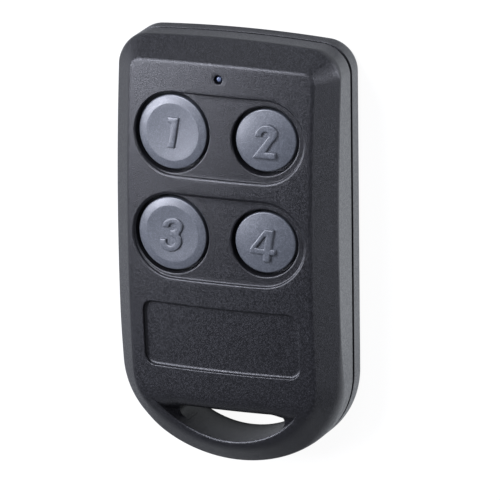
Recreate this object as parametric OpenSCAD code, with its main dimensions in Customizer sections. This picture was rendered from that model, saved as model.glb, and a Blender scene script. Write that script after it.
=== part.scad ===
// Four-button alarm key fob: a two-part case, four sprung keys, a lamp, a circuit board and a coin cell.
// It lies on its back. +Z is the normal of the face, +Y points to the lamp end, +X to the small keys,
// and the origin is in the middle of the back.

/* [Case] */
// Width of the case
case_w = 37; // [35:0.5:42]
// Length of the case
case_l = 68.8; // [66:0.5:78]
// Thickness of the case at the top of its crowned face
case_t = 14.4; // [13.8:0.1:17]
// Wall thickness of the shells
wall_t = 1.5; // [1.2:0.1:1.7]
// Thickness of the back
floor_t = 1.4; // [1.2:0.1:1.8]
// Corner radius at the lamp end
lamp_corner_r = 4.9; // [4.6:0.1:8]
// Radius of the bowed edge at the lamp end
lamp_end_r = 220; // [120:10:400]
// Corner radius at the ring end
ring_corner_r = 13.9; // [11:0.1:15]
// Radius of the rounded edge at the ring end
ring_end_r = 21.9; // [21:0.1:26]
// Radius along the edge of the back
back_round = 1; // [0.5:0.1:1.5]

/* [Face] */
// Radius of the crown along the length
crown_l_r = 208; // [180:2:400]
// Radius of the crown across the width
crown_w_r = 96; // [85:1:200]
// Place of the top of the crown along the length
crown_y = 3.2; // [0:0.1:5]
// Width of the bevel along the sides
bevel_side = 3.3; // [2.6:0.1:3.6]
// Width of the bevel round the two ends
bevel_end = 3; // [2.6:0.1:3.6]
// Height of the lower edge of the bevel, in the middle of the sides
edge_z = 9.5; // [8.8:0.1:10]
// Radius of the curve that the lower edge of the bevel follows
edge_r = 238; // [200:2:500]
// Rounding of both edges of the bevel
edge_round = 0.4; // [0.2:0.1:0.6]

/* [Joint between the shells] */
// Height of the joint line
joint_z = 3.7; // [3.5:0.1:4.2]
// Height of the shadow gap at the joint line
joint_gap = 0.25; // [0.1:0.05:0.4]
// Depth of the shadow gap
joint_depth = 0.35; // [0.2:0.05:0.6]
// Thickness of the tongue on the rear shell
tongue_t = 0.8; // [0.6:0.1:1]
// Height of the tongue above the joint
tongue_h = 1.3; // [0.8:0.1:1.5]
// Clearance between the tongue and the front shell
tongue_gap = 0.1; // [0.05:0.05:0.2]

/* [Keys] */
// Diameter of the large keys
big_key_d = 11.6; // [10.5:0.1:12]
// Diameter of the small keys
small_key_d = 9.8; // [8.5:0.1:11]
// Distance between the two columns of keys
column_pitch = 15.4; // [15:0.1:16]
// Distance between the two rows of keys
row_pitch = 16.2; // [15.6:0.1:18]
// Distance of the first row from the lamp end
row_inset = 14.4; // [14:0.1:16]
// Gap round each key
key_gap = 0.55; // [0.4:0.05:0.6]
// Depth of the shallow recess round each row of keys
recess_depth = 0.45; // [0.2:0.05:0.6]
// Margin of the recess round the large keyholes
recess_margin = 0.3; // [0.2:0.05:0.5]
// Drop of the keys' rims below the recess
key_sink = 0.35; // [0.1:0.05:0.5]
// Width of the sloped ring round the dish of the large keys
big_ridge_w = 1.35; // [0.8:0.05:1.8]
// Width of the rounded edge of the small keys
small_ridge_w = 0.3; // [0.2:0.05:0.6]
// Height of the ring or edge above the keys' rims
ridge_h = 0.25; // [0.15:0.05:0.35]
// Depth of the dish in the large keys
dish_depth = 0.22; // [0.1:0.02:0.3]
// Height of the raised numbers above the key
number_h = 0.32; // [0.2:0.02:0.4]
// Length of the numbers from head to foot
number_l = 5.2; // [4:0.1:6]
// Slant of the numbers in degrees
number_slant = 10; // [0:1:15]
// Travel of a key
key_travel = 0.4; // [0.2:0.05:0.4]
// Reach of the flange that holds a key in its collar
flange_lip = 0.55; // [0.4:0.05:0.6]
// Thickness of that flange
flange_t = 1; // [0.7:0.1:1]
// Play between the flange and the collar
flange_play = 0.1; // [0.05:0.05:0.2]
// Wall of the collar round each keyhole
collar_t = 0.9; // [0.7:0.1:1]
// Thickness of a key's top
key_cap_t = 1.2; // [0.9:0.1:1.5]
// Thickness of a key's side
key_wall_t = 1.2; // [0.8:0.1:1.5]
// Wall of a key's stem outside the switch plunger
stem_lip = 0.6; // [0.3:0.1:0.8]
// Clearance left under a pressed key
press_room = 0.1; // [0.05:0.05:0.2]

/* [Lamp] */
// Diameter of the light pipe
pipe_d = 1.2; // [1:0.1:2]
// Clearance round the light pipe
pipe_gap = 0.1; // [0.05:0.05:0.2]
// Distance of the lamp from the lamp end
lamp_inset = 5.35; // [5:0.05:6]
// Depth of the light pipe's end below the face
pipe_sink = 0.3; // [0:0.05:0.5]
// Diameter of the flange on the light pipe
pipe_flange_d = 3; // [2.4:0.1:3.4]
// Height of that flange
pipe_flange_h = 0.8; // [0.5:0.1:1.2]
// Clearance between that flange and the inside of the face
pipe_flange_gap = 0.2; // [0.1:0.05:0.4]
// Length, width and height of the lamp chip
lamp_chip_size = [1.6, 0.8, 0.6]; // [0.5:0.1:2]

/* [Label recess] */
// Width of the label recess
label_w = 25.9; // [20:0.1:27]
// Height of the label recess
label_h = 10.7; // [8:0.1:11]
// Distance of the label recess below the second row of keys
label_drop = 16.6; // [16:0.1:18]
// Depth of the label recess
label_depth = 0.7; // [0.3:0.05:0.9]
// Corner radius of the label recess
label_corner_r = 1.7; // [0.8:0.1:3]

/* [Key ring slot] */
// Distance of the slot from the ring end
slot_rim = 4.25; // [3.8:0.05:5]
// Radius of the slot's curved side
slot_r = 14.6; // [13.5:0.1:16]
// Width of the slot
slot_w = 17.6; // [14:0.1:18.5]
// Height of the slot
slot_h = 5.5; // [5:0.1:5.8]
// Corner radius of the slot
slot_corner_r = 1.2; // [0.6:0.1:2]
// Height of the scoop that leads into the slot
scoop_h = 6.4; // [6:0.1:6.6]
// Depth of the scoop at the ends of the slot
scoop_depth = 2.2; // [1.5:0.1:2.5]
// Radius where the face rolls over into the slot
roll_r = 2; // [1.5:0.1:2.4]
// Wall round the slot
sleeve_t = 1.4; // [1.2:0.1:1.6]

/* [Board and cell] */
// Thickness of the circuit board
board_t = 1; // [0.8:0.1:1.2]
// Clearance of the board from the tongue and the slot wall
board_gap = 0.7; // [0.5:0.1:1]
// Corner radius of the board
board_corner_r = 3.4; // [2:0.1:4]
// Diameter of the coin cell
cell_d = 20; // [16:0.1:20]
// Thickness of the coin cell
cell_t = 3.2; // [2.5:0.1:3.4]
// Distance of the coin cell's centre from the key ring slot
cell_inset = 17.6; // [17:0.1:19]
// Clearance between the coin cell and its fence
fence_gap = 0.4; // [0.2:0.05:0.6]
// Thickness of the fence
fence_t = 0.9; // [0.7:0.1:1.2]
// Height of the fence above the inside of the back
fence_h = 1.7; // [1:0.1:2.5]
// Width of the cell clip
clip_w = 5; // [4:0.1:6]
// Length of the cell clip's feet on the board
clip_foot = 1.6; // [1:0.1:2]
// Width and length of the cell contact's pad on the board
contact_pad = [9, 5]; // [4:0.1:10]
// Diameter of the cell contact's bump
contact_bump_d = 3; // [2:0.1:4]
// Thickness of the battery contacts
contact_t = 0.3; // [0.2:0.05:0.4]
// Space between the cell and the board
contact_room = 0.5; // [0.4:0.05:0.6]
// Side of a key switch
switch_side = 6; // [5:0.1:6.5]
// Height of a key switch
switch_h = 2.6; // [2.4:0.1:2.8]
// Thickness of the metal cover on a key switch
switch_cover_t = 0.4; // [0.2:0.05:0.5]
// Diameter of a switch plunger
plunger_d = 3; // [2.6:0.1:3.4]
// Clearance round a plunger
plunger_gap = 0.25; // [0.15:0.05:0.3]
// Reach of the plunger's flange past the hole in the cover
plunger_lip = 0.2; // [0.1:0.05:0.3]
// Play between the plunger's flange and the cover
plunger_play = 0.15; // [0.05:0.05:0.2]
// Thickness of the floor of a key switch
well_floor = 0.5; // [0.4:0.05:0.6]
// Height of a snap dome
dome_h = 0.35; // [0.25:0.05:0.4]
// Sheet thickness of a snap dome
dome_t = 0.12; // [0.1:0.01:0.15]
// Clearance between a pressed plunger and the snap dome
dome_gap = 0.05; // [0.05:0.05:0.1]

/* [Screws] */
// Diameter of the case screws
screw_d = 2; // [1.6:0.1:2.2]
// Length of a screw under its head
screw_l = 7.6; // [7:0.1:7.8]
// Diameter of a screw head
head_d = 3.8; // [3.2:0.1:4]
// Height of a screw head
head_h = 1.5; // [1:0.1:1.6]
// Depth of the screw heads' seats in the back
head_seat = 1.9; // [1.7:0.1:2.2]
// Clearance round the screws in the rear shell and the board
screw_gap = 0.15; // [0.1:0.05:0.25]
// Clearance of the screws in the bosses
thread_gap = 0.05; // [0.02:0.01:0.1]
// Room past the tip of a screw
tip_room = 0.2; // [0.1:0.1:0.5]
// Wall of the screw posts and bosses
post_t = 1.5; // [1.3:0.1:1.6]
// Wall round the screw heads' seats
seat_t = 0.6; // [0.5:0.1:0.8]
// Distance of the screws from the sides
screw_side_inset = 5.2; // [5:0.1:5.6]
// Clearance of the upper bosses from the flanges of the large keys
boss_gap = 0.5; // [0.3:0.1:1]
// Distance of the lower screws from the scoop
screw_slot_inset = 5.1; // [4.8:0.1:6]
// Width, length and depth of the cross in a screw head
cross_size = [0.5, 2.2, 0.7]; // [0.3:0.1:2.4]

/* [Circuit parts] */
// Distance of the row of chips below the second row of keys
chip_drop = 10.5; // [10:0.1:11.5]
// Distance of the controller from the board's left edge
controller_inset = 11.4; // [11:0.1:12]
// Distance of the transmitter from the board's right edge
transmitter_inset = 10.4; // [10:0.1:11]
// Distance of the crystal from the board's right edge
crystal_inset = 4.9; // [4.5:0.1:5.4]
// Distance of the column of capacitors from the board's left edge
capacitor_inset = 4.4; // [4:0.1:5]
// Distance between the capacitors in that column
capacitor_pitch = 2.5; // [2:0.1:3]
// Clearance of that column from the screw boss below it and the switch above it
capacitor_gap = 2; // [1:0.1:3]
// Width, length and height of the controller
controller_size = [5, 4.4, 1.4]; // [0.8:0.1:6]
// Width, reach and height of the controller's pins
pin_size = [0.4, 6.2, 0.5]; // [0.2:0.1:7]
// Distance between the controller's pins
pin_pitch = 1.27; // [1:0.01:1.3]
// Width, length and height of the transmitter
transmitter_size = [4, 4, 0.9]; // [0.6:0.1:5]
// Width, length and height of the crystal
crystal_size = [3.2, 5, 0.9]; // [0.6:0.1:5]
// Width of the antenna loop
antenna_w = 18; // [12:0.1:19]
// Length of the antenna loop
antenna_l = 5.2; // [4:0.1:6]
// Width of the antenna's strip
antenna_strip = 0.9; // [0.6:0.1:1.2]
// Thickness of the antenna's strip
antenna_t = 0.2; // [0.1:0.05:0.4]
// Margin of the antenna from the edge of the board
antenna_margin = 0.6; // [0.4:0.1:1]
// Length, width and height of a capacitor
capacitor_size = [1.6, 0.8, 0.8]; // [0.4:0.1:2]
// Length, width and height of a resistor
resistor_size = [1.6, 0.8, 0.5]; // [0.3:0.1:2]
// Gap between a resistor and the part that it stands beside
resistor_gap = 1; // [0.6:0.1:1.5]

/* [Hidden] */
$fn = 64;

case_grey = [0.24, 0.24, 0.26];
key_grey = [0.56, 0.58, 0.63];
board_green = [0.1, 0.35, 0.22];
steel = [0.75, 0.76, 0.78];
brass = [0.8, 0.65, 0.35];
chip_black = [0.12, 0.12, 0.13];

lamp_end_y = case_l / 2;
ring_end_y = -case_l / 2;
over = 1;

// Heights of the stack inside the case, from the back upwards
front_z0 = joint_z + joint_gap / 2;
rear_rim_z = joint_z - joint_gap / 2;
cell_z0 = floor_t + contact_t;
board_z0 = cell_z0 + cell_t + contact_room;
board_z1 = board_z0 + board_t;
switch_z1 = board_z1 + switch_h;
cover_z0 = switch_z1 - switch_cover_t;
key_z0 = switch_z1 + key_travel + press_room;
collar_z = key_z0 + flange_t + flange_play;

// Places of the keys: 1 and 3 are the large ones on the left, 2 and 4 the small ones on the right
row_y = [lamp_end_y - row_inset, lamp_end_y - row_inset - row_pitch];
key_at = [for (i = [0 : 3]) [(i % 2 == 0 ? -1 : 1) * column_pitch / 2, row_y[floor(i / 2)]]];
key_d = [for (i = [0 : 3]) i % 2 == 0 ? big_key_d : small_key_d];
function hole_r(i) = key_d[i] / 2 + key_gap;
function flange_r(i) = hole_r(i) + flange_lip;
lamp_y = lamp_end_y - lamp_inset;
label_y = row_y[1] - label_drop;
chip_y = row_y[1] - chip_drop;

// Places round the key ring slot
slot_y0 = ring_end_y + slot_rim;
slot_y1 = slot_y0 + slot_h;
slot_centre_y = slot_y0 + slot_r;
scoop_y = slot_y0 + scoop_h;
roll_y = slot_y1 + roll_r;
roll_dip = 0.1;
cell_y = slot_y1 + cell_inset;

// Places of the screws: the upper ones just clear the large keys, the lower ones the scoop
boss_r = screw_d / 2 + post_t;
post_r = max(boss_r, head_d / 2 + screw_gap + seat_t);
screw_x = case_w / 2 - screw_side_inset;
boss_reach = flange_r(0) + boss_gap + boss_r;
lower_screw_y = scoop_y + screw_slot_inset;
upper_screw_y = row_y[0] + sqrt(pow(boss_reach, 2) - pow(screw_x - column_pitch / 2, 2));
screw_at = [
    for (side = [-1, 1])
        for (y = [upper_screw_y, lower_screw_y])
            [side * screw_x, y]
];
screw_z1 = head_seat + screw_l;

// Arcs of the case outline
ring_end_cy = ring_end_y + ring_end_r;
ring_corner_cx = case_w / 2 - ring_corner_r;
ring_corner_cy = ring_end_cy - sqrt(pow(ring_end_r - ring_corner_r, 2) - pow(ring_corner_cx, 2));
ring_turn = atan2(ring_end_cy - ring_corner_cy, ring_corner_cx);
lamp_end_cy = lamp_end_y - lamp_end_r;
lamp_corner_cx = case_w / 2 - lamp_corner_r;
lamp_corner_cy = lamp_end_cy + sqrt(pow(lamp_end_r - lamp_corner_r, 2) - pow(lamp_corner_cx, 2));
lamp_turn = atan2(lamp_corner_cy - lamp_end_cy, lamp_corner_cx);
end_steps = 6;
corner_steps = 8;
side_steps = 8;

// A point of an arc with its outward direction
function arc_point(c, r, a) = [c[0] + r * cos(a), c[1] + r * sin(a), cos(a), sin(a)];

// The right half of the case outline, from the middle of the ring end to the middle of the lamp end
right_half = concat(
    [for (k = [0 : end_steps - 1])
        arc_point([0, ring_end_cy], ring_end_r, -90 + k * (90 - ring_turn) / end_steps)],
    [for (k = [0 : corner_steps - 1])
        arc_point([ring_corner_cx, ring_corner_cy], ring_corner_r, ring_turn * (k / corner_steps - 1))],
    [for (k = [0 : side_steps - 1])
        [case_w / 2, ring_corner_cy + k * (lamp_corner_cy - ring_corner_cy) / side_steps, 1, 0]],
    [for (k = [0 : corner_steps - 1])
        arc_point([lamp_corner_cx, lamp_corner_cy], lamp_corner_r, k * lamp_turn / corner_steps)],
    [for (k = [0 : end_steps])
        arc_point([0, lamp_end_cy], lamp_end_r, lamp_turn + k * (90 - lamp_turn) / end_steps)]
);
outline = concat(
    right_half,
    [for (k = [len(right_half) - 2 : -1 : 1])
        [-right_half[k][0], right_half[k][1], -right_half[k][2], right_half[k][3]]]
);

// An outline point moved inwards
function inset(p, side, end) = [p[0] - side * p[2], p[1] - end * p[3]];
function inset_ring(d) = [for (p = outline) inset(p, d, d)];
function lift(p, z) = [p[0], p[1], z];

// Height of the crowned face, of its slopes and of the bevel's lower edge
function crown_z(p) =
    case_t - crown_l_r
    + sqrt(pow(crown_l_r - crown_w_r + sqrt(pow(crown_w_r, 2) - pow(p[0], 2)), 2) - pow(p[1] - crown_y, 2));
function crown_tilt(p) = [asin((crown_y - p[1]) / crown_l_r), asin(p[0] / crown_w_r), 0];
function bevel_edge_z(p) = edge_z - edge_r + sqrt(pow(edge_r, 2) - pow(p[1] - crown_y, 2));

// A point on the rounding of the corner c between a and b
function bend(a, c, b, t) = (1 - t) * (1 - t) * a + 2 * t * (1 - t) * c + t * t * b;
function towards(a, b, d) = a + (b - a) * d / norm(b - a);
bend_steps = [0, 0.35, 0.65, 1];

// Corners of the bevel above an outline point
function edge_corner(p) = lift(p, bevel_edge_z(p));
function brow_xy(p, more) = inset(p, bevel_side + more, bevel_end + more);
function brow_corner(p, more) = lift(brow_xy(p, more), crown_z(brow_xy(p, more)));
function edge_bend(p, t) =
    bend(
        edge_corner(p) - [0, 0, edge_round],
        edge_corner(p),
        towards(edge_corner(p), brow_corner(p, 0), edge_round),
        t
    );
function brow_bend(p, t) =
    bend(
        towards(brow_corner(p, 0), edge_corner(p), edge_round),
        brow_corner(p, 0),
        brow_corner(p, edge_round),
        t
    );
function face_ring(more, s, drop) =
    [for (p = outline) lift(brow_xy(p, more) * s, crown_z(brow_xy(p, more) * s) - drop)];

// A solid through closed rings of points, the last of which closes on one point
module loft(rings, top) {
    n = len(rings[0]);
    m = len(rings);
    points = concat([for (ring = rings) each ring], [top]);
    sides = [
        for (j = [0 : m - 2])
            for (i = [0 : n - 1])
                each [
                    [j * n + i, j * n + n + i, j * n + n + (i + 1) % n],
                    [j * n + i, j * n + n + (i + 1) % n, j * n + (i + 1) % n]
                ]
    ];
    lid = [for (i = [0 : n - 1]) [(m - 1) * n + (i + 1) % n, (m - 1) * n + i, m * n]];
    polyhedron(points, concat([[for (i = [0 : n - 1]) i]], sides, lid));
}

// The outside of the front shell
module front_form() {
    loft(
        concat(
            [[for (p = outline) lift(p, front_z0)]],
            [for (t = bend_steps) [for (p = outline) edge_bend(p, t)]],
            [for (t = bend_steps) [for (p = outline) brow_bend(p, t)]],
            [for (s = [0.86 : -0.16 : 0.06]) face_ring(edge_round, s, 0)]
        ),
        [0, 0, crown_z([0, 0])]
    );
}

// The hollow of the front shell, with the same wall behind the bevel
module front_hollow() {
    slope = atan2(case_t - edge_z, bevel_side);
    corner_drop = wall_t * (1 / cos(slope) - tan(slope));
    corner_inset = wall_t * (1 / cos(slope) - 1) / tan(slope);
    loft(
        concat(
            [[for (p = outline) lift(inset(p, wall_t, wall_t), front_z0 - over)]],
            [[for (p = outline) lift(inset(p, wall_t, wall_t), bevel_edge_z(p) - corner_drop)]],
            [for (s = [1 : -0.3 : 0.1]) face_ring(corner_inset, s, wall_t)]
        ),
        [0, 0, crown_z([0, 0]) - wall_t]
    );
}

// Everything below the crowned face lowered by a drop
module under_crown(drop) {
    reach = 2 * asin(case_l / crown_l_r);
    translate([0, crown_y, case_t - crown_l_r])
        rotate([0, 90, 0])
            rotate([0, 0, 180 - reach / 2])
                rotate_extrude(angle = reach, $fn = 720)
                    intersection() {
                        translate([crown_l_r - crown_w_r - drop, 0])
                            circle(r = crown_w_r, $fn = 720);
                        translate([crown_l_r - case_t, -case_w / 2])
                            square([case_t + over, case_w]);
                    }
}

// A straight cut in the face that keeps an even depth under the crown
module face_pocket(depth) {
    difference() {
        translate([0, 0, collar_z])
            linear_extrude(case_t)
                children();
        under_crown(depth);
    }
}

module row_outline(y) {
    r = hole_r(0) + recess_margin;
    for (side = [-1, 1])
        translate([side * column_pitch / 2, y])
            circle(r);
    translate([-column_pitch / 2, y - r])
        square([column_pitch, 2 * r]);
}

module round_rect(w, h, r) {
    square([w - 2 * r, h], center = true);
    square([w, h - 2 * r], center = true);
    for (x = [-1, 1])
        for (y = [-1, 1])
            translate([x * (w / 2 - r), y * (h / 2 - r)])
                circle(r);
}

// The part of a disc round the slot's centre that lies below a line
module slot_disc(r, top_y) {
    intersection() {
        translate([0, slot_centre_y])
            circle(r, $fn = 180);
        translate([-case_w / 2, ring_end_y])
            square([case_w, top_y - ring_end_y]);
    }
}

module slot_outline() {
    intersection() {
        slot_disc(slot_r, slot_y1);
        translate([0, slot_y1 - slot_r])
            round_rect(slot_w, 2 * slot_r, slot_corner_r);
    }
}

module slot_hole() {
    translate([0, 0, -over])
        linear_extrude(case_t + 2 * over)
            slot_outline();
}

module sleeve(z0, z1, gap = 0) {
    translate([0, 0, z0])
        linear_extrude(z1 - z0)
            slot_disc(slot_r + sleeve_t + gap, slot_y1 + sleeve_t + gap);
}

// The scoop in the face: its upper side rolls over into the slot and its ends run out in points
module scoop() {
    roll_z = crown_z([0, roll_y]) - roll_r - roll_dip;
    ramp = atan2(scoop_depth, sqrt(pow(slot_r, 2) - pow(slot_r - scoop_h, 2)) - slot_w / 2);
    floor_z = crown_z([slot_w / 2, slot_y1]) - scoop_depth;
    difference() {
        translate([0, 0, floor_z])
            linear_extrude(case_t)
                slot_disc(slot_r, roll_y);
        translate([-case_w / 2, roll_y, roll_z])
            rotate([0, 90, 0])
                cylinder(r = roll_r, h = case_w);
        translate([-case_w / 2, slot_y1, 0])
            cube([case_w, 2 * roll_r, roll_z]);
        for (side = [-1, 1])
            translate([side * slot_w / 2, 0, floor_z])
                mirror([side < 0 ? 1 : 0, 0, 0])
                    rotate([0, -ramp, 0])
                        translate([0, -case_l / 2, -case_t])
                            cube([case_w, case_l, case_t]);
    }
}

// A column for each case screw
module at_screws() {
    for (p = screw_at)
        translate(p)
            children();
}

module front_shell() {
    color(case_grey)
        difference() {
            front_form();
            difference() {
                front_hollow();
                sleeve(front_z0 - 2 * over, case_t);
                at_screws()
                    translate([0, 0, board_z1])
                        cylinder(r = boss_r, h = case_t);
                for (i = [0 : 3])
                    translate(lift(key_at[i], collar_z))
                        cylinder(r = hole_r(i) + collar_t, h = case_t);
            }
            for (i = [0 : 3])
                translate(lift(key_at[i], key_z0))
                    cylinder(r = hole_r(i), h = case_t);
            for (y = row_y)
                face_pocket(recess_depth)
                    row_outline(y);
            face_pocket(label_depth)
                translate([0, label_y])
                    round_rect(label_w, label_h, label_corner_r);
            translate([0, lamp_y, board_z1])
                cylinder(r = pipe_d / 2 + pipe_gap, h = case_t);
            slot_hole();
            scoop();
            at_screws()
                translate([0, 0, board_z1 - over])
                    cylinder(r = screw_d / 2 + thread_gap, h = screw_z1 + tip_room - board_z1 + over);
        }
}

module rear_shell() {
    tongue_in = wall_t + tongue_gap;
    tongue_z1 = front_z0 + tongue_h;
    profile = concat(
        [for (a = [0 : 30 : 90]) [back_round * (1 - cos(a)), back_round * (1 - sin(a))]],
        [
            [rear_rim_z, 0],
            [rear_rim_z, joint_depth],
            [front_z0, joint_depth],
            [front_z0, tongue_in],
            [tongue_z1, tongue_in]
        ]
    );
    color(case_grey)
        difference() {
            loft(
                [for (s = profile) [for (p = inset_ring(s[1])) lift(p, s[0])]],
                [0, 0, tongue_z1]
            );
            difference() {
                translate([0, 0, floor_t])
                    linear_extrude(case_t)
                        polygon(inset_ring(tongue_in + tongue_t));
                sleeve(0, front_z0);
                at_screws()
                    cylinder(r = post_r, h = board_z0);
                cell_fence();
            }
            sleeve(front_z0, tongue_z1 + over, tongue_gap);
            slot_hole();
            at_screws() {
                translate([0, 0, -over])
                    cylinder(r = head_d / 2 + screw_gap, h = head_seat + over);
                cylinder(r = screw_d / 2 + screw_gap, h = board_z0 + over);
            }
        }
}

// The low round fence on the back that keeps the coin cell in place, open where the clip passes
module cell_fence() {
    difference() {
        translate([0, cell_y, 0])
            cylinder(r = cell_d / 2 + fence_gap + fence_t, h = floor_t + fence_h);
        translate([0, cell_y, -over])
            cylinder(r = cell_d / 2 + fence_gap, h = floor_t + fence_h + 2 * over);
        translate([-cell_d, cell_y - clip_w / 2 - fence_gap, floor_t])
            cube([2 * cell_d, clip_w + 2 * fence_gap, fence_h + over]);
    }
}

// The numbers, made of straight strokes and arcs on a grid that is scaled to their length and slanted alike
grid_l = 5.2;
arc_steps = 10;
function slant(points) = [for (p = points) [p[0] + p[1] * tan(number_slant), p[1]] * number_l / grid_l];
function arc_xy(c, r, a) = [c[0] + r * cos(a), c[1] + r * sin(a)];
function arc_band(c, r0, r1, a0, a1) = concat(
    [for (k = [0 : arc_steps]) arc_xy(c, r1, a0 + (a1 - a0) * k / arc_steps)],
    [for (k = [arc_steps : -1 : 0]) arc_xy(c, r0, a0 + (a1 - a0) * k / arc_steps)]
);

module number(i) {
    if (i == 0)
        polygon(slant([[-0.5, -2.6], [0.65, -2.6], [0.65, 2.6], [-0.95, 2.6], [-0.95, 1.8], [-0.5, 1.6]]));
    if (i == 1) {
        polygon(slant(arc_band([0, 1], 0.65, 1.7, 170, -42)));
        polygon(slant([[0.4, 0.6], [1.3, -0.1], [-0.45, -1.9], [-1.9, -1.9]]));
        polygon(slant([[-1.9, -2.7], [1.8, -2.7], [1.8, -1.75], [-1.9, -1.75]]));
    }
    if (i == 2) {
        polygon(slant(arc_band([0, 1.2], 0.5, 1.5, 170, -80)));
        polygon(slant(arc_band([0, -1.1], 0.6, 1.65, 80, -170)));
    }
    if (i == 3)
        difference() {
            polygon(slant([
                [0.3, 2.6], [1.4, 2.6], [1.4, -0.5], [2, -0.5], [2, -1.45], [1.4, -1.45],
                [1.4, -2.6], [0.3, -2.6], [0.3, -1.45], [-2, -1.45], [-2, -0.7]
            ]));
            polygon(slant([[0.3, 1.1], [0.3, -0.55], [-0.9, -0.55]]));
        }
}

// The tilted frame on a key's rim, which follows the crown
function rim_z(i) = crown_z(key_at[i]) - recess_depth - key_sink;
module on_key(i) {
    translate(lift(key_at[i], rim_z(i)))
        rotate(crown_tilt(key_at[i]))
            children();
}

module button(i) {
    d = key_d[i];
    big = i % 2 == 0;
    ridge_w = big ? big_ridge_w : small_ridge_w;
    ridge_r = d / 2 - ridge_w;
    ridge_top_w = 0.1;
    dish = big ? dish_depth : 0;
    skirt = 0.7;
    hollow_h = rim_z(i) - key_cap_t - key_z0;
    color(key_grey) {
        difference() {
            union() {
                translate(lift(key_at[i], key_z0))
                    cylinder(d = d, h = case_t - key_z0);
                translate(lift(key_at[i], key_z0))
                    cylinder(r = flange_r(i), h = flange_t);
            }
            on_key(i) {
                difference() {
                    translate([0, 0, -skirt])
                        cylinder(r = d, h = case_t);
                    translate([0, 0, -skirt])
                        cylinder(
                            r1 = ridge_r + (skirt + ridge_h) * ridge_w / ridge_h,
                            r2 = ridge_r,
                            h = skirt + ridge_h
                        );
                }
                if (dish > 0)
                    dish_ball(ridge_r - ridge_top_w, dish);
            }
            difference() {
                translate(lift(key_at[i], key_z0 - over))
                    cylinder(r = d / 2 - key_wall_t, h = hollow_h + over);
                translate(lift(key_at[i], key_z0 - over))
                    cylinder(r = plunger_d / 2 + stem_lip, h = hollow_h + 2 * over);
            }
        }
        on_key(i)
            translate([0, 0, -skirt / 2])
                linear_extrude(skirt / 2 + ridge_h - dish + number_h)
                    number(i);
    }
}

// The ball that hollows out the dish of a large key
module dish_ball(r, depth) {
    ball_r = (r * r + depth * depth) / (2 * depth);
    translate([0, 0, ridge_h - depth + ball_r])
        sphere(ball_r, $fn = 180);
}

module light_pipe() {
    pipe_z0 = board_z1 + lamp_chip_size[2];
    face_z = crown_z([0, lamp_y]);
    color([0.75, 0.82, 0.95]) {
        translate([0, lamp_y, pipe_z0])
            cylinder(d = pipe_d, h = face_z - pipe_sink - pipe_z0);
        translate([0, lamp_y, face_z - wall_t - pipe_flange_gap - pipe_flange_h])
            cylinder(d = pipe_flange_d, h = pipe_flange_h);
    }
}

// A part of the circuit that stands on the board
module on_board(x, y, size) {
    translate([x - size[0] / 2, y - size[1] / 2, board_z1])
        cube(size);
}

module lamp_chip() {
    color("white")
        on_board(0, lamp_y, lamp_chip_size);
}

board_w = case_w - 2 * (wall_t + tongue_gap + tongue_t + board_gap);
board_y0 = slot_y1 + sleeve_t + board_gap;
board_y1 = lamp_end_y - wall_t - tongue_gap - tongue_t - board_gap;
module circuit_board() {
    color(board_green)
        difference() {
            translate([0, (board_y0 + board_y1) / 2, board_z0])
                linear_extrude(board_t)
                    round_rect(board_w, board_y1 - board_y0, board_corner_r);
            at_screws()
                translate([0, 0, board_z0 - over])
                    cylinder(r = screw_d / 2 + screw_gap, h = board_t + 2 * over);
        }
}

// A key switch: a base with a round well, a plunger with a flange in the well, a cover and a snap dome
plunger_hole_r = plunger_d / 2 + plunger_gap;
plunger_flange_r = plunger_hole_r + plunger_lip;
well_r = plunger_flange_r + plunger_gap;
plunger_z0 = board_z1 + well_floor + dome_h + dome_gap + key_travel;

module switch_base(i) {
    color(chip_black)
        difference() {
            translate(lift(key_at[i], board_z1) - [switch_side / 2, switch_side / 2, 0])
                cube([switch_side, switch_side, cover_z0 - board_z1]);
            translate(lift(key_at[i], board_z1 + well_floor))
                cylinder(r = well_r, h = switch_h);
        }
}

module switch_plunger(i) {
    color("black")
        translate(key_at[i]) {
            translate([0, 0, plunger_z0])
                cylinder(r = plunger_flange_r, h = cover_z0 - plunger_play - plunger_z0);
            translate([0, 0, plunger_z0])
                cylinder(d = plunger_d, h = key_z0 - plunger_z0);
        }
}

module switch_covers() {
    color(steel)
        for (p = key_at)
            difference() {
                translate(lift(p, cover_z0) - [switch_side / 2, switch_side / 2, 0])
                    cube([switch_side, switch_side, switch_cover_t]);
                translate(lift(p, cover_z0 - over))
                    cylinder(r = plunger_hole_r, h = switch_cover_t + 2 * over);
            }
}

module switch_domes() {
    foot_r = plunger_flange_r;
    ball_r = (foot_r * foot_r + dome_h * dome_h) / (2 * dome_h);
    color(steel)
        for (p = key_at)
            translate(lift(p, board_z1 + well_floor))
                intersection() {
                    difference() {
                        translate([0, 0, dome_h - ball_r])
                            sphere(ball_r, $fn = 180);
                        translate([0, 0, dome_h - ball_r])
                            sphere(ball_r - dome_t, $fn = 180);
                    }
                    cylinder(r = foot_r, h = case_t);
                }
}

module coin_cell() {
    rim = 1.2;
    cap_h = 0.3;
    color(steel)
        translate([0, cell_y, cell_z0]) {
            cylinder(d = cell_d, h = cell_t - cap_h);
            cylinder(r = cell_d / 2 - rim, h = cell_t);
        }
}

// The spring clip that carries the cell from the board and touches its larger face
module cell_clip() {
    leg_x = cell_d / 2 + contact_t;
    color(brass)
        translate([0, cell_y, 0])
            for (side = [0, 1])
                mirror([side, 0, 0]) {
                    translate([0, -clip_w / 2, floor_t])
                        cube([leg_x + contact_t, clip_w, contact_t]);
                    translate([leg_x, -clip_w / 2, floor_t])
                        cube([contact_t, clip_w, board_z0 - floor_t]);
                    translate([leg_x, -clip_w / 2, board_z0 - contact_t])
                        cube([clip_foot, clip_w, contact_t]);
                }
}

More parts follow.
